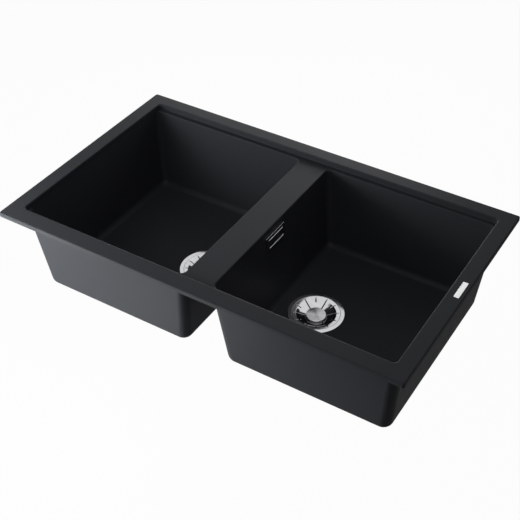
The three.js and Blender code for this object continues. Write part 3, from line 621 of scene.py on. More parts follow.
OPENING_X = SINK_LENGTH / 2 - SIDE_BAND
OPENING_FRONT = -SINK_WIDTH / 2 + FRONT_BAND
OPENING_BACK = SINK_WIDTH / 2 - BACK_BAND
BOWL_FRONT = OPENING_FRONT + LEDGE_WIDTH
BOWL_BACK = OPENING_BACK - LEDGE_WIDTH
DIVIDER_X = DIVIDER_WIDTH / 2
DRAFT_SLOPE = math.tan(DRAFT)
FLOOR_EDGE_Z = DRAIN_Z + FLOOR_FALL
BODY_BOTTOM_Z = DRAIN_Z - FLOOR_THICKNESS
RECESS_DEPTH = FLANGE_THICKNESS + SEAL_THICKNESS + 2 * GAP
PLATE_BOTTOM_Z = RIM_TOP + PLATE_PROUD - PLATE_THICKNESS


def rim_slab():
    """The flat rim with its rounded edges."""

    def level(inset, z):
        x, y = SINK_LENGTH / 2 - inset, SINK_WIDTH / 2 - inset
        return rounded_ring(-x, x, -y, y, RIM_CORNER, z)

    lower = reversed(quarter_round(RIM_BOTTOM_ROUNDING, 4))
    rings = [level(inset, rise) for inset, rise in lower]
    rings += [level(inset, RIM_TOP - drop) for inset, drop in quarter_round(RIM_TOP_ROUNDING)]
    return loft("rim", rings)


def collar():
    """The band under the rim that stands round the ledges."""

    def level(z):
        x, radius = OPENING_X + WALL, OPENING_CORNER + WALL
        return rounded_ring(-x, x, OPENING_FRONT - WALL, OPENING_BACK + WALL, radius, z)

    return loft("collar", [level(LEDGE_Z - WALL), level(RIM_TOP / 2)])


def opening_cutter():
    """The sunk field over both bowls, with a rounded step and foot."""

    def level(outset, z, foot=0.0):
        x = OPENING_X + outset
        front, back = OPENING_FRONT - outset + foot, OPENING_BACK + outset - foot
        return rounded_ring(-x, x, front, back, OPENING_CORNER, z)

    rings = [level(STEP_ROUNDING, RIM_TOP + OVERCUT)]
    rings += [level(outset, RIM_TOP - drop) for drop, outset in quarter_round(STEP_ROUNDING)]
    rings += [level(0.0, LEDGE_Z + rise, foot) for foot, rise in quarter_round(STEP_FOOT, 4)]
    return loft("opening", rings)


def bowl_ring(side, offset, z, far_offset=None):
    """A ring round one bowl's inside at a height, widened by an offset."""
    lean = max(LEDGE_Z - z, 0.0) * DRAFT_SLOPE
    inset = lean - offset
    near = DIVIDER_X + inset
    far = OPENING_X - lean + (offset if far_offset is None else far_offset)
    x0, x1 = (near, far) if side > 0 else (-far, -near)
    radius = BOWL_CORNER + max(offset, 0.0)
    return rounded_ring(x0, x1, BOWL_FRONT + inset, BOWL_BACK - inset, radius, z)


def bowl_shell(side):
    """The outside of a bowl."""
    rings = [bowl_ring(side, WALL, LEDGE_Z)]
    for inset, rise in quarter_round(OUTER_BOTTOM_ROUNDING, 10):
        rings.append(bowl_ring(side, WALL - inset, BODY_BOTTOM_Z + rise))
    return loft("shell", rings)


def mouth_cutter(side):
    """The rounded lip at the top of a bowl."""
    rings = [bowl_ring(side, LIP_ROUNDING, LEDGE_Z + OVERCUT, 0.0)]
    for drop, outset in quarter_round(LIP_ROUNDING, 5):
        rings.append(bowl_ring(side, outset, LEDGE_Z - drop, 0.0))
    return loft("mouth", rings)


def bowl_cutter(side):
    """The inside of a bowl, with a filleted floor that falls to a circle round the drain."""
    rings = [bowl_ring(side, 0.0, LEDGE_Z)]
    for inset, rise in quarter_round(FLOOR_FILLET, 10):
        rings.append(bowl_ring(side, -inset, FLOOR_EDGE_Z + rise))
    edge = rings[-1]
    reach = FLANGE_RADIUS + GAP
    circle = []
    for x, y, _ in edge:
        angle = math.atan2(y, x - side * DRAIN_X)
        circle.append((side * DRAIN_X + reach * math.cos(angle), reach * math.sin(angle)))
    for step in range(1, FLOOR_STEPS + 1):
        share = step / FLOOR_STEPS
        z = FLOOR_EDGE_Z - FLOOR_FALL * share
        rings.append([
            (x + (u - x) * share, y + (v - y) * share, z)
            for (x, y, _), (u, v) in zip(edge, circle)
        ])
    return loft("bowl", rings)


def disc(name, radius, bottom, top, segments=96):
    """A plain round disc or bar along Z."""
    return turned(name, [(0, bottom), (radius, bottom), (radius, top), (0, top)], segments)


def sink_body():
    """The granite casting with its bowls, drain recesses, plate pocket and overflow hole."""
    body = rim_slab()
    add(body, collar())
    for side in (-1, 1):
        add(body, bowl_shell(side))
    cut(body, opening_cutter())
    for side in (-1, 1):
        cut(body, mouth_cutter(side))
        cut(body, bowl_cutter(side))
        recess = disc("recess", FLANGE_RADIUS + GAP, -RECESS_DEPTH, OVERCUT)
        hole = disc("hole", CUP_RADIUS + 1.0, -FLOOR_THICKNESS - OVERCUT, 0.0)
        for cutter in (recess, hole):
            cut(body, move(cutter, side * DRAIN_X, 0.0, DRAIN_Z))
    pocket = [plate_ring(GAP, PLATE_BOTTOM_Z - GAP), plate_ring(GAP, RIM_TOP + OVERCUT)]
    cut(body, loft("pocket", pocket))
    cut(body, on_overflow_wall(overflow_hole("hole", -WALL - OVERCUT, OVERCUT)))
    soften(body, 28.0)
    body.name = "granite_body"
    finish_piece(body, "sink", granite, "sink_body")


def plate_ring(grow, z):
    """A ring round the bare name plate on the right band."""
    middle = SINK_LENGTH / 2 - SIDE_BAND / 2 + PLATE_SHIFT
    half_width, half_length = PLATE_WIDTH / 2 + grow, PLATE_LENGTH / 2 + grow
    x0, x1 = middle - half_width, middle + half_width
    return rounded_ring(x0, x1, -half_length, half_length, PLATE_CORNER + grow, z, 6, 2)


def rim_plate():
    """The bare plate, a little proud of the rim."""
    top = RIM_TOP + PLATE_PROUD
    rings = [plate_ring(0.0, PLATE_BOTTOM_Z)]
    rings += [plate_ring(-inset, top - drop) for inset, drop in quarter_round(0.15, 3)]
    plate = loft("bare_plate", rings)
    soften(plate, 40.0)
    finish_piece(plate, "sink", plate_steel, "rim_plate")


# ---- Strainer waste, with heights from the flange's top ----


def block(name, x0, x1, y0, y1, z0, z1, turn=0.0):
    """A block along X, turned about Z by an angle in degrees."""
    corners = [(x0, y0), (x1, y0), (x1, y1), (x0, y1)]
    points = [(x, y, z) for z in (z0, z1) for x, y in corners]
    sides = [(0, 1, 5, 4), (1, 2, 6, 5), (2, 3, 7, 6), (3, 0, 4, 7)]
    return rotate(make_piece(name, points, [(3, 2, 1, 0), (4, 5, 6, 7), *sides]), turn)


def add_arms(piece, inner, outer, bottom, top):
    """Three arms between a hub and the wall round it."""
    for turn in (0, 120, 240):
        half = ARM_WIDTH / 2
        add(piece, block("arm", inner, outer, -half, half, bottom, top, turn))


def drain_flange():
    """The polished flange and cup, with a hub for the clamp screw in the plug hole."""
    cup_bore = CUP_RADIUS - FLANGE_THICKNESS
    flange = turned("flange", filleted([
        (SEAT_RADIUS, 0.0, 0.5),
        (FLANGE_RADIUS, 0.0, 0.7),
        (FLANGE_RADIUS, -FLANGE_THICKNESS, 0.3),
        (SEAT_RADIUS + FLANGE_THICKNESS, -FLANGE_THICKNESS, 0.5),
        (SEAT_RADIUS + FLANGE_THICKNESS, SEAT_Z - FLANGE_THICKNESS, 0.8),
        (CUP_RADIUS, SEAT_Z - FLANGE_THICKNESS, 0.5),
        (CUP_RADIUS, -CUP_DEPTH, 3.5),
        (PLUG_HOLE_RADIUS, -CUP_DEPTH, 0.4),
        (PLUG_HOLE_RADIUS, CUP_PLATE_Z, 0.7),
        (cup_bore, CUP_PLATE_Z, 3.5),
        (cup_bore, SEAT_Z, 0.8),
        (SEAT_RADIUS, SEAT_Z, 0.3),
    ]))
    arm_top = CUP_PLATE_Z - FLANGE_THICKNESS / 2
    add_arms(flange, HUB_RADIUS - 1, PLUG_HOLE_RADIUS + 3, HUB_BOTTOM_Z, arm_top)
    cut(flange, disc("head_room", HUB_RADIUS, HUB_TOP_Z, 0.0, 48))
    add(flange, disc("hub", HUB_RADIUS, HUB_BOTTOM_Z, HUB_TOP_Z, 48))
    cut(flange, disc("bore", SCREW_RADIUS + GAP, -2 * CUP_DEPTH, 0.0, 48))
    soften(flange)
    return flange


def height_along(line):
    """The height of a line of (radius, height) points at any radius."""
    line = sorted(line)

    def height(radius):
        for (r0, z0), (r1, z1) in zip(line, line[1:]):
            if radius <= r1:
                return z0 + (z1 - z0) * (radius - r0) / (r1 - r0)
        return line[-1][1]

    return height


def slot_cutter(inner, outer, turn, height):
    """A slot with round ends through the strainer, its upper edge rolled over."""

    def level(outset, drop=None, flat_z=0.0):
        half = SLOT_WIDTH / 2 + outset
        ring = rounded_ring(inner - outset, outer + outset, -half, half, half * 0.999, 0.0)
        if drop is None:
            return [(x, y, flat_z) for x, y, _ in ring]
        return [(x, y, height(math.hypot(x, y)) - drop) for x, y, _ in ring]

    rings = [level(SLOT_ROLL, flat_z=OVERCUT)]
    rolled = quarter_round(SLOT_ROLL, 5)
    rings += [level(outset, drop - SLOT_ROLL_RISE) for drop, outset in rolled]
    rings.append(level(0.0, flat_z=-2 * DISH_DEPTH))
    return rotate(loft("slot", rings), turn)


def strainer():
    """The lift-out dish with six short and six long slots and the plug's guide."""
    thin = STRAINER_THICKNESS
    brim, guide_bore = SEAT_RADIUS - STRAINER_GAP, STEM_RADIUS + GAP
    guide = guide_bore + GUIDE_WALL
    underside = [
        (brim, -thin / 2, 0.3),
        (brim, -thin, 0.4),
        (DISH_RADIUS + 2.5, -thin, 1.0),
        (DISH_RADIUS - thin / 3, -BRIM_FALL - thin, 4.0),
        (KNEE_RADIUS - thin / 3, -KNEE_DEPTH - thin, 9.0),
        (DISH_FLAT_RADIUS - thin / 3, -DISH_DEPTH - thin, 6.0),
        (guide, -DISH_DEPTH - thin, 0.8),
        (guide, GUIDE_END_Z, 0.3),
        (guide_bore, GUIDE_END_Z, 0.3),
    ]
    top = [
        (guide_bore, -DISH_DEPTH, 0.5),
        (DISH_FLAT_RADIUS, -DISH_DEPTH, 7.0),
        (KNEE_RADIUS, -KNEE_DEPTH, 10.0),
        (DISH_RADIUS, -BRIM_FALL, 3.0),
        (brim - 0.3, 0.0, 0.3),
    ]
    dish = rotate(turned("strainer", filleted(underside + top, 6), 144), STRAINER_TURN)
    inside = [(0.0, -DISH_DEPTH, 0), *top[1:4], (brim, 0.0, 0)]
    height = height_along(filleted(inside, 6))
    slots = []
    for i in range(SLOT_COUNT):
        inner = DISH_FLAT_RADIUS + SLOT_START if i % 2 else KNEE_RADIUS
        slots.append(slot_cutter(inner, brim - SLOT_END, 360 / SLOT_COUNT * i, height))
    cut(dish, gather(slots))
    soften(dish, 40.0)
    return dish


def plug_knob():
    """The round knob, with a socket for the stem."""
    bore, under = STEM_RADIUS + GAP, -KNOB_SUNK - KNOB_THICKNESS
    return turned_part("knob", [
        (0.0, -KNOB_SUNK, 0),
        (KNOB_RADIUS, -KNOB_SUNK, 0.7),
        (KNOB_RADIUS, under, 0.4),
        (KNOB_RADIUS - KNOB_OVERHANG, under, 0.5),
        (KNOB_RADIUS - KNOB_OVERHANG, KNOB_BOTTOM_Z, 0.3),
        (bore, KNOB_BOTTOM_Z, 0.2),
        (bore, KNOB_BOTTOM_Z + KNOB_SOCKET, 0),
        (0.0, KNOB_BOTTOM_Z + KNOB_SOCKET, 0),
    ])


def thread(root, crest, pitch, top, bottom):
    """The radius of a screw thread that fades out at both ends."""

    def shape(r, z, angle):
        on_shank = root - THREAD_REACH <= r <= crest + THREAD_REACH
        if not (bottom < z < top and on_shank):
            return r
        turn = (z / pitch + angle / (2 * math.pi)) % 1.0
        ridge = 1.0 - abs(2.0 * turn - 1.0)
        fade = min(1.0, (top - z) / pitch, (z - bottom) / pitch)
        return root + (crest - root) * (ridge * fade)

    return shape


def threaded_rows(radius, top, bottom, pitch, rows_per_turn=6):
    """Outline points down a shank, close enough for a thread."""
    count = max(2, round((top - bottom) / pitch * rows_per_turn))
    return [(radius, top + (bottom - top) * i / count) for i in range(count + 1)]


def plug_stem():
    """The stem under the knob, with the disc that presses the seal down."""
    bottom = PLUG_SEAL_BOTTOM_Z + GAP
    disc_top = STEM_DISC_Z + STEM_DISC_THICKNESS
    return turned_part("stem", [
        (0.0, STEM_TOP_Z, 0),
        (STEM_RADIUS, STEM_TOP_Z, 0.3),
        (STEM_RADIUS, disc_top, 0.4),
        (STEM_DISC_RADIUS, disc_top, 0.5),
        (STEM_DISC_RADIUS, STEM_DISC_Z, 0.4),
        (STEM_RADIUS, STEM_DISC_Z, 0.3),
        (STEM_RADIUS, bottom, 0.5),
        (0.0, bottom, 0),
    ], 48)


def plug_seal():
    """The rubber disc over the plug hole, with a stepped edge and a dished top."""
    bore, outer = STEM_RADIUS + GAP, PLUG_HOLE_RADIUS + PLUG_SEAL_OVERLAP
    bottom, top = PLUG_SEAL_BOTTOM_Z, PLUG_SEAL_BOTTOM_Z + PLUG_SEAL_THICKNESS
    return turned_part("seal", [
        (bore, bottom, 0.2),
        (outer, bottom, 0.6),
        (outer, top - 2.6, 0.6),
        (outer - 1.4, top - 2.0, 0.4),
        (outer - 2, top, 0.8),
        (STEM_DISC_RADIUS + 2, top, 0.4),
        (STEM_DISC_RADIUS + 1.6, top - 0.5, 0.3),
        (bore, top - 0.5, 0.2),
    ])


def ring_seal(inner, outer, bottom, top):
    """A flat rubber ring with rounded edges."""
    corners = [(inner, bottom), (outer, bottom), (outer, top), (inner, top)]
    return turned_part("ring", [(r, z, 0.35) for r, z in corners], sharp=40.0)


def waste_body(side):
    """The funnel under a bowl with its threaded outlet, and on the right the hose's inlet."""
    outlet_bore, root = OUTLET_RADIUS - OUTLET_WALL, OUTLET_RADIUS - OUTLET_THREAD_DEPTH
    thread_top, thread_end = CONE_BOTTOM_Z - 4.0, OUTLET_END_Z + OUTLET_THREAD_DEPTH
    collar_z = BODY_TOP_Z - WASTE_COLLAR
    rows = threaded_rows(OUTLET_RADIUS, thread_top, thread_end, OUTLET_PITCH)
    outline = filleted([
        (WASTE_BORE, BODY_TOP_Z, 0.4),
        (WASTE_BORE, CONE_TOP_Z, 4.0),
        (outlet_bore, CONE_BOTTOM_Z, 3.0),
        (outlet_bore, OUTLET_END_Z, 0.5),
        (root, OUTLET_END_Z, 0.3),
    ]) + rows[::-1] + filleted([
        (OUTLET_RADIUS, CONE_BOTTOM_Z - 1.5, 0),
        (WASTE_RADIUS, CONE_TOP_Z - 1.5, 2.5),
        (WASTE_RADIUS, collar_z, 0.8),
        (WASTE_RADIUS + WASTE_COLLAR, collar_z, 0.5),
        (WASTE_RADIUS + WASTE_COLLAR, BODY_TOP_Z, 0.5),
    ])
    shape = thread(root, OUTLET_RADIUS, OUTLET_PITCH, thread_top, OUTLET_END_Z)
    body = turned("waste", outline, 96, shape)
    hub_bottom = CONE_TOP_Z - WASTE_HUB_HEIGHT
    add(body, disc("hub", WASTE_HUB_RADIUS, hub_bottom, CONE_TOP_Z, 48))
    add_arms(body, WASTE_HUB_RADIUS - 1, outlet_bore + 1.5, hub_bottom, CONE_BOTTOM_Z)
    cut(body, disc("bore", SCREW_RADIUS + GAP, 2 * OUTLET_END_Z, 0.0, 48))
    if side > 0:
        wall_x, end = -(WASTE_BORE + 1.5), -WASTE_RADIUS - SPIGOT_LENGTH
        spigot = bar_along_x("spigot", SPIGOT_RADIUS, end, wall_x, True)
        add(body, move(spigot, z=INLET_Z))
        way = bar_along_x("way", SPIGOT_RADIUS - SPIGOT_WALL, end - 1, wall_x + 3.0)
        cut(body, move(way, z=INLET_Z))
    soften(body, 38.0)
    return body


def bar_along_x(name, radius, x0, x1, barbed=False):
    """A round bar along X. A barbed one has the ridges that hold a hose."""
    if barbed:
        outline = [(0.0, x0), (radius - 1.1, x0)]
        for i in range(BARB_COUNT):
            start = x0 + BARB_START + BARB_PITCH * i
            outline += [(radius - depth, start + along) for along, depth in BARB]
        outline += [(radius - BARB[-1][1], x1), (0.0, x1)]
    else:
        outline = [(0.0, x0), (radius, x0), (radius, x1), (0.0, x1)]
    return rotate(turned(name, outline, 48), 90, "Y")


def clamp_screw():
    """The long screw with a cross slot that holds flange and waste body together."""
    head_top, seat = HUB_TOP_Z + SCREW_HEAD_RISE, HUB_TOP_Z + GAP
    end, thread_top = CONE_TOP_Z - SCREW_REACH, seat - 6.0
    rows = threaded_rows(SCREW_RADIUS, thread_top, end + 1.0, SCREW_PITCH, 5)
    outline = filleted([
        (0.0, head_top, 0),
        (SCREW_HEAD_RADIUS, head_top, 1.2),
        (SCREW_HEAD_RADIUS, seat, 0.2),
        (SCREW_RADIUS, seat, 0.2),
        (SCREW_RADIUS, seat - 5.0, 0),
    ]) + rows + [(SCREW_RADIUS - 1.0, end), (0.0, end)]
    shape = thread(SCREW_RADIUS - 0.4, SCREW_RADIUS, SCREW_PITCH, thread_top, end + 0.5)
    screw = turned("screw", outline, 36, shape)
    for turn in (0, 90):
        cut(screw, block("cross", -3.0, 3.0, -0.6, 0.6, head_top - 1.6, head_top + 1, turn))
    soften(screw)
    return screw


def flange_seal():
    """The ring between the flange and the floor's recess."""
    top = -FLANGE_THICKNESS - GAP
    bore = SEAT_RADIUS + FLANGE_THICKNESS + GAP
    return ring_seal(bore, FLANGE_RADIUS, top - SEAL_THICKNESS, top)


def waste_gasket():
    """The ring between the floor's underside and the waste body."""
    top = -FLOOR_THICKNESS - GAP
    return ring_seal(WASTE_BORE, WASTE_BORE + GASKET_WIDTH, top - GASKET_THICKNESS, top)


def waste_group(side):
    """All pieces of one bowl's waste."""
    prefix = "right" if side > 0 else "left"
    basket, plug = prefix + "_basket", prefix + "_plug"
    made = [
        (drain_flange(), "drain_flange", "sink", polished_steel),
        (flange_seal(), "flange_seal", "sink", black_rubber),
        (waste_gasket(), "waste_gasket", "sink", black_rubber),
        (waste_body(side), "waste_body", "sink", white_plastic),
        (clamp_screw(), "clamp_screw", "sink", zinc_steel),
        (strainer(), "strainer", basket, polished_steel),
        (plug_knob(), "plug_knob", plug, knob_steel),
        (plug_stem(), "plug_stem", plug, zinc_steel),
        (plug_seal(), "plug_seal", plug, black_rubber),
    ]
    for piece, node, body, finish in made:
        move(piece, side * DRAIN_X, 0.0, DRAIN_Z)
        piece.name = f"{prefix}_{node}_fine"
        finish_piece(piece, body, finish, f"{prefix}_{node}")


# ---- Overflow, in the frame of the wall it sits on ----
# There +X points out of the wall into the bowl, +Z runs up the wall, and x = 0 is its face.


def on_overflow_wall(piece):
    """Brings a piece from the wall's frame to its place on the wall."""
    return move(piece, OVERFLOW_X, 0.0, OVERFLOW_Z, -DRAFT)


def upright_plate(name, length, height, radius, x0, x1, edge=0.0):
    """A plate across X with rounded corners, its two rims rounded by edge."""

    def level(inset, x):
        y, z = length / 2 - inset, height / 2 - inset
        corner = max(radius - inset, 0.2)
        return [(x, u, v) for u, v, _ in rounded_ring(-y, y, -z, z, corner, 0.0, 6, 2)]

    if edge:
        rings = [level(inset, x0 + rise) for inset, rise in reversed(quarter_round(edge, 4))]
        rings += [level(inset, x1 - drop) for inset, drop in quarter_round(edge, 4)]
    else:
        rings = [level(0.0, x0), level(0.0, x1)]
    piece = loft(name, rings)
    weld(piece)
    return piece


def overflow_hole(name, x0, x1):
    """A cutter the size of the hole in the wall."""
    return upright_plate(name, HOLE_LENGTH, HOLE_HEIGHT, HOLE_CORNER, x0, x1)


def cover_slot_cutter(reach, front):
    """A slot with round ends through the cover, its front edge rolled over."""

    def level(outset, x):
        y, z = reach + outset, COVER_SLOT / 2 + outset
        return [(x, u, v) for u, v, _ in rounded_ring(-y, y, -z, z, z - 0.1, 0.0, 8, 4)]

    rings = [level(0.0, -1.0)]
    rolled = list(reversed(quarter_round(COVER_SLOT_ROLL, 5)))
    rings += [level(outset, front - drop) for drop, outset in rolled]
    rings.append(level(COVER_SLOT_ROLL, front + 1.0))
    slot = loft("slot", rings)
    weld(slot)
    return slot


def overflow_cover():
    """The polished plate with two slots, and behind it the boss for the screw."""
    front = GAP + COVER_THICKNESS
    cover = upright_plate("cover", COVER_LENGTH, COVER_HEIGHT, 2.0, GAP, front, 0.25)
    reach = HOLE_LENGTH / 2 - 2.0
    slot_z = HOLE_HEIGHT / 2 - 0.1 - COVER_SLOT / 2
    for z in (-slot_z, slot_z):
        cut(cover, move(cover_slot_cutter(reach, front), z=z))
    boss_front = GAP + COVER_THICKNESS / 2
    add(cover, bar_along_x("boss", OVERFLOW_SCREW_RADIUS + BOSS_WALL, BOSS_END_X, boss_front))
    bore_end = BOSS_END_X + BOSS_BORE_DEPTH
    cut(cover, bar_along_x("bore", OVERFLOW_SCREW_RADIUS + GAP, BOSS_END_X - 1, bore_end))
    soften(cover, 32.0)
    return on_overflow_wall(cover)


def overflow_seal():
    """The rubber frame between the wall and the housing."""
    back, front = SEAL_FRONT_X - OVERFLOW_SEAL_THICKNESS, SEAL_FRONT_X
    length, height = HOLE_LENGTH + SEAL_OVERLAP, HOLE_HEIGHT + SEAL_OVERLAP
    seal = upright_plate("seal", length, height, HOLE_CORNER, back, front, 0.5)
    cut(seal, overflow_hole("way", back - 1, front + 1))
    soften(seal)
    return on_overflow_wall(seal)


def overflow_housing():
    """The chamber behind the wall, with a lip on the seal and a spigot for the hose."""
    length, height = HOLE_LENGTH + 2 * HOUSING_WALL, HOLE_HEIGHT + 2 * HOUSING_WALL
    back, front = HOUSING_BACK_X, HOUSING_FRONT_X
    housing = upright_plate("box", length, height, HOLE_CORNER, back, front, 1.0)
    lip_size = (length + LIP_OVERLAP, height + LIP_OVERLAP, HOLE_CORNER)
    add(housing, upright_plate("lip", *lip_size, front - HOUSING_WALL, front, 0.4))
    on_overflow_wall(housing)
    end = HOSE_TOP_Z - SPIGOT_LENGTH
    spigot = bar_along_x("spigot", SPIGOT_RADIUS, end, OVERFLOW_Z - HOLE_HEIGHT / 2, True)
    add(housing, move(rotate(spigot, -90, "Y"), HOSE_X))
    hollow_size = (HOLE_LENGTH, HOLE_HEIGHT, HOUSING_CORNER)
    hollow = upright_plate("hollow", *hollow_size, back + HOUSING_WALL, front + 1)
    bore = bar_along_x("bore", OVERFLOW_SCREW_RADIUS + GAP, back - 1, BOSS_END_X)
    for cutter in (hollow, bore):
        cut(housing, on_overflow_wall(cutter))
    way = disc("way", SPIGOT_RADIUS - SPIGOT_WALL, end - 1, OVERFLOW_Z, 48)
    cut(housing, move(way, HOSE_X))
    soften(housing, 35.0, bevel=0.4)
    return housing


def overflow_screw():
    """The screw from the housing's back into the cover's boss."""
    back, radius = HOUSING_BACK_X - GAP, OVERFLOW_SCREW_RADIUS
    tip = BOSS_END_X + BOSS_BORE_DEPTH - GAP
    outline = filleted([
        (0.0, back - 2.5, 0),
        (radius + 3, back - 2.5, 1.2),
        (radius + 3, back, 0.2),
        (radius, back, 0.2),
        (radius, tip, 0.6),
        (0.0, tip, 0),
    ])
    screw = rotate(turned("screw", outline, 36), 90, "Y")
    for half_y, half_z in ((0.5, 2.6), (2.6, 0.5)):
        cross = block("cross", back - 3.5, back - 1.2, -half_y, half_y, -half_z, half_z)
        cut(screw, cross)
    soften(screw)
    return on_overflow_wall(screw)


# ---- Overflow hose ----


def hose_at(distance):
    """The hose's middle line at a distance from its top: x, z and how far it has turned."""
    if distance <= HOSE_DROP:
        return HOSE_X, HOSE_TOP_Z - distance, 0.0
    if distance >= HOSE_DROP + HOSE_ARC:
        run = distance - HOSE_DROP - HOSE_ARC
        return HOSE_X + HOSE_BEND + run, HOSE_LEVEL_Z, math.pi / 2
    turn = (distance - HOSE_DROP) / HOSE_BEND
    x = HOSE_X + HOSE_BEND * (1 - math.cos(turn))
    return x, HOSE_LEVEL_Z + HOSE_BEND * (1 - math.sin(turn)), turn


def hose_ring(distance, radius):
    """A ring square to the hose's middle line."""
    x, z, turn = hose_at(distance)
    ring = []
    for i in range(HOSE_SIDES):
        angle = 2 * math.pi * i / HOSE_SIDES
        across = radius * math.cos(angle)
        ring.append((x + across * math.cos(turn), radius * math.sin(angle),
                     z + across * math.sin(turn)))
    return ring


def overflow_hose():
    """Plain cuffs at both ends and round corrugations between them."""
    end = HOSE_LENGTH
    ribs = int((end - 2 * HOSE_CUFF) / RIB_PITCH)
    start = (end - ribs * RIB_PITCH) / 2
    # How far from the hose's end and how far below the cuff's surface each point lies.
    cuff = [(0.0, 0.4), (0.4, 0.0), (start - 1.6, 0.0), (start - 0.8, 0.3)]
    outside = [(along, CUFF_RADIUS - depth) for along, depth in cuff]
    for i in range(ribs * RIB_STEPS + 1):
        swell = (0.5 - 0.5 * math.cos(2 * math.pi * i / RIB_STEPS)) ** 0.6
        radius = HOSE_ROOT + (HOSE_CREST - HOSE_ROOT) * swell
        outside.append((start + i * RIB_PITCH / RIB_STEPS, radius))
    outside += [(end - along, CUFF_RADIUS - depth) for along, depth in reversed(cuff)]
    inside = [(0.0, HOSE_BORE + 0.3), (0.3, HOSE_BORE)]
    inside += [(start + i * RIB_PITCH, HOSE_BORE) for i in range(ribs + 1)]
    inside += [(end - 0.3, HOSE_BORE), (end, HOSE_BORE + 0.3)]
    rings = [hose_ring(distance, radius) for distance, radius in outside + inside[::-1]]
    count = len(rings[0])
    points = [point for ring in rings for point in ring]
    faces = []
    for level in range(len(rings)):
        here, there = level * count, ((level + 1) % len(rings)) * count
        for i in range(count):
            k = (i + 1) % count
            faces.append((here + i, there + i, there + k, here + k))
    hose = make_piece("hose", points, faces)
    weld(hose)
    soften(hose, 45.0)
    return hose


def hose_clip(distance):
    """A steel band with rolled edges and a row of embossed grooves."""
    x, z, turn = hose_at(distance)
    half = CLIP_WIDTH / 2
    band_radius, edge_radius = CLIP_RADIUS - CLIP_ROLL, CLIP_RADIUS + CLIP_ROLL

    def embossed(r, height, angle):
        if r < CLIP_RADIUS - 0.3 or abs(height) > half - 2.2:
            return r
        groove = (0.5 + 0.5 * math.cos(CLIP_GROOVES * angle)) ** 2
        return r - CLIP_GROOVE_DEPTH * groove

    lower = [
        (CLIP_BORE, -half, 0.3),
        (edge_radius, -half, 0.5),
        (edge_radius, -half + 1.2, 0.3),
        (band_radius, -half + 1.6, 0.2),
        (band_radius, -1.0, 0),
    ]
    upper = [(r, -z, fillet) for r, z, fillet in reversed(lower)]
    band = turned("band", filleted(lower + upper, 3), 144, embossed)
    soften(band, 40.0)
    return move(band, x, 0.0, z, -turn)


def overflow_group():
    """All pieces of the overflow, its hose and its clips."""
    middle = SPIGOT_LENGTH / 2
    made = [
        (overflow_cover(), "overflow_cover", polished_steel),
        (overflow_seal(), "overflow_seal", black_rubber),
        (overflow_housing(), "overflow_housing", white_plastic),
        (overflow_screw(), "overflow_screw", zinc_steel),
        (overflow_hose(), "overflow_hose", grey_plastic),
        (hose_clip(middle), "overflow_clip_upper", zinc_steel),
        (hose_clip(HOSE_LENGTH - middle), "overflow_clip_lower", zinc_steel),
    ]
    for piece, node, finish in made:
        piece.name = node + "_fine"
        finish_piece(piece, "sink", finish, node)


sink_body()
rim_plate()
for side in (-1, 1):
    waste_group(side)
overflow_group()

# ---- Camera, floor and light, in metres ----

# Fitted to the corners, drains, plate and overflow in the photograph.
CAMERA_PLACE = Vector((0.8556, -1.3399, 1.2466))
CAMERA_AZIMUTH = math.radians(31.023)
CAMERA_ELEVATION = math.radians(37.803)
CAMERA_ROLL = math.radians(0.142)
CAMERA_LENS = 72.915
CAMERA_SENSOR = 36.0
CAMERA_SHIFT = (-0.0414, -0.0911)
CAMERA_REACH = 50.0
FLOOR_Z = -0.62
FLOOR_REACH = 12.0
FLOOR_GREY = (0.50, 0.50, 0.50, 1.0)
FLOOR_WHITE = 0.97
FLOOR_MIRRORED = 0.1
ROOM_LIGHT = 0.04
WHITE = (1.0, 1.0, 1.0, 1.0)


def make_camera():
    """The camera at the photograph's viewing angle."""
    azimuth, elevation = CAMERA_AZIMUTH, CAMERA_ELEVATION
    back = Vector((math.sin(azimuth) * math.cos(elevation),
                   -math.cos(azimuth) * math.cos(elevation), math.sin(elevation)))
    right = Vector((math.cos(azimuth), math.sin(azimuth), 0.0))
    up = back.cross(right)
    cos_roll, sin_roll = math.cos(CAMERA_ROLL), math.sin(CAMERA_ROLL)
    right, up = cos_roll * right + sin_roll * up, cos_roll * up - sin_roll * right
    camera = new_object("camera", bpy.data.cameras.new("camera"))
    camera.data.sensor_width = CAMERA_SENSOR
    camera.data.lens = CAMERA_LENS
    camera.data.shift_x, camera.data.shift_y = CAMERA_SHIFT
    camera.data.clip_end = CAMERA_REACH
    turn = Matrix((right, up, back)).transposed().to_4x4()
    camera.matrix_world = Matrix.Translation(CAMERA_PLACE) @ turn
    bpy.context.scene.camera = camera


def white_rays(tree, mirrored=1.0):
    """1 for rays from the camera and through glass, and a share for mirrored ones."""
    path = make_node(tree, "LightPath")
    share = math_node(tree, "MULTIPLY", path.outputs["Is Glossy Ray"], mirrored)
    for kind in ("Is Camera Ray", "Is Transmission Ray"):
        share = math_node(tree, "MAXIMUM", path.outputs[kind], share)
    return share


def show_mixed(tree, output, share, first, second):
    """Shows the first shader where the share is 0 and the second where it is 1."""
    mixed = make_node(tree, "MixShader", {"Fac": share, 1: first, 2: second})
    make_node(tree, output, {"Surface": mixed.outputs["Shader"]})


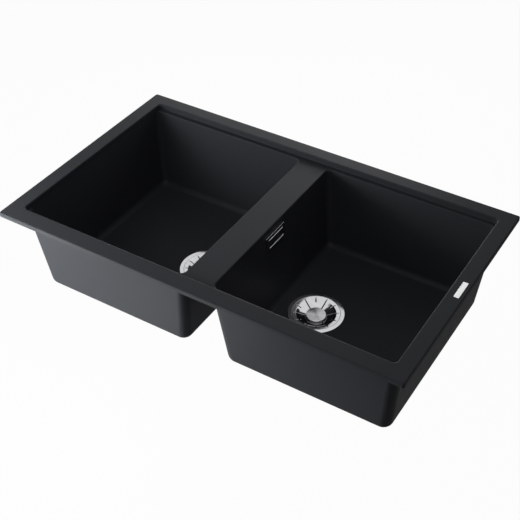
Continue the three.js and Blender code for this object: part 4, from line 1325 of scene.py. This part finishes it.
def make_floor():
    """A pale floor that reads as white and keeps a soft shadow."""
    mesh = bpy.data.meshes.new("floor")
    sides = [(-1, -1), (1, -1), (1, 1), (-1, 1)]
    corners = [(x * FLOOR_REACH, y * FLOOR_REACH, FLOOR_Z) for x, y in sides]
    mesh.from_pydata(corners, [], [(0, 1, 2, 3)])
    floor = new_object("floor", mesh)
    look = bpy.data.materials.new("floor")
    look.use_nodes = True
    tree = look.node_tree
    tree.nodes.clear()
    matt = make_node(tree, "BsdfDiffuse", {"Color": FLOOR_GREY}).outputs["BSDF"]
    white = make_node(tree, "Emission", {"Color": WHITE, "Strength": 1.0}).outputs["Emission"]
    share = math_node(tree, "MULTIPLY", white_rays(tree, FLOOR_MIRRORED), FLOOR_WHITE)
    show_mixed(tree, "OutputMaterial", share, matt, white)
    mesh.materials.append(look)


def make_world():
    """White behind the object, and a plain dim room for its light."""
    world = bpy.data.worlds.new("studio")
    bpy.context.scene.world = world
    world.use_nodes = True
    tree = world.node_tree
    tree.nodes.clear()
    backgrounds = []
    for strength in (ROOM_LIGHT, 1.0):
        node = make_node(tree, "Background", {"Color": WHITE, "Strength": strength})
        backgrounds.append(node.outputs["Background"])
    show_mixed(tree, "OutputWorld", white_rays(tree), *backgrounds)


# Name, place and aim in metres, size in metres, power in watts.
SOFTBOXES = [
    ("low_left", (-0.75, -0.75, -0.40), (-0.25, -0.10, -0.05), 0.35, 5.2),
    ("low_front", (-0.30, -0.55, -0.45), (-0.25, -0.10, -0.05), 0.35, 1.3),
    ("front_left", (-0.55, -0.70, 0.30), (-0.25, -0.10, -0.05), 0.35, 1.4),
    ("corner", (-0.62, -0.62, 0.12), (-0.43, -0.25, 0.0), 0.25, 5.0),
    ("low_back_left", (-0.84, 1.45, 0.30), (0.0, 0.0, -0.05), 0.90, 10.0),
    ("low_back", (-0.20, 0.95, 0.30), (0.0, 0.0, 0.0), 0.40, 1.8),
    ("overhead", (0.29, -0.80, 1.47), (0.0, 0.0, -0.05), 0.90, 3.8),
]


def softbox(name, place, aim, size, power):
    """A square area light at a place, facing a point. It lights without being seen."""
    light = bpy.data.lights.new(name, "AREA")
    light.shape = "SQUARE"
    light.size = size
    light.energy = power
    lamp = new_object(name, light)
    lamp.location = place
    direction = Vector(aim) - Vector(place)
    lamp.rotation_mode = "QUATERNION"
    lamp.rotation_quaternion = direction.to_track_quat("-Z", "Y")
    lamp.visible_camera = False


make_camera()
make_floor()
make_world()
for box in SOFTBOXES:
    softbox(*box)

bpy.context.scene.view_settings.view_transform = "Standard"
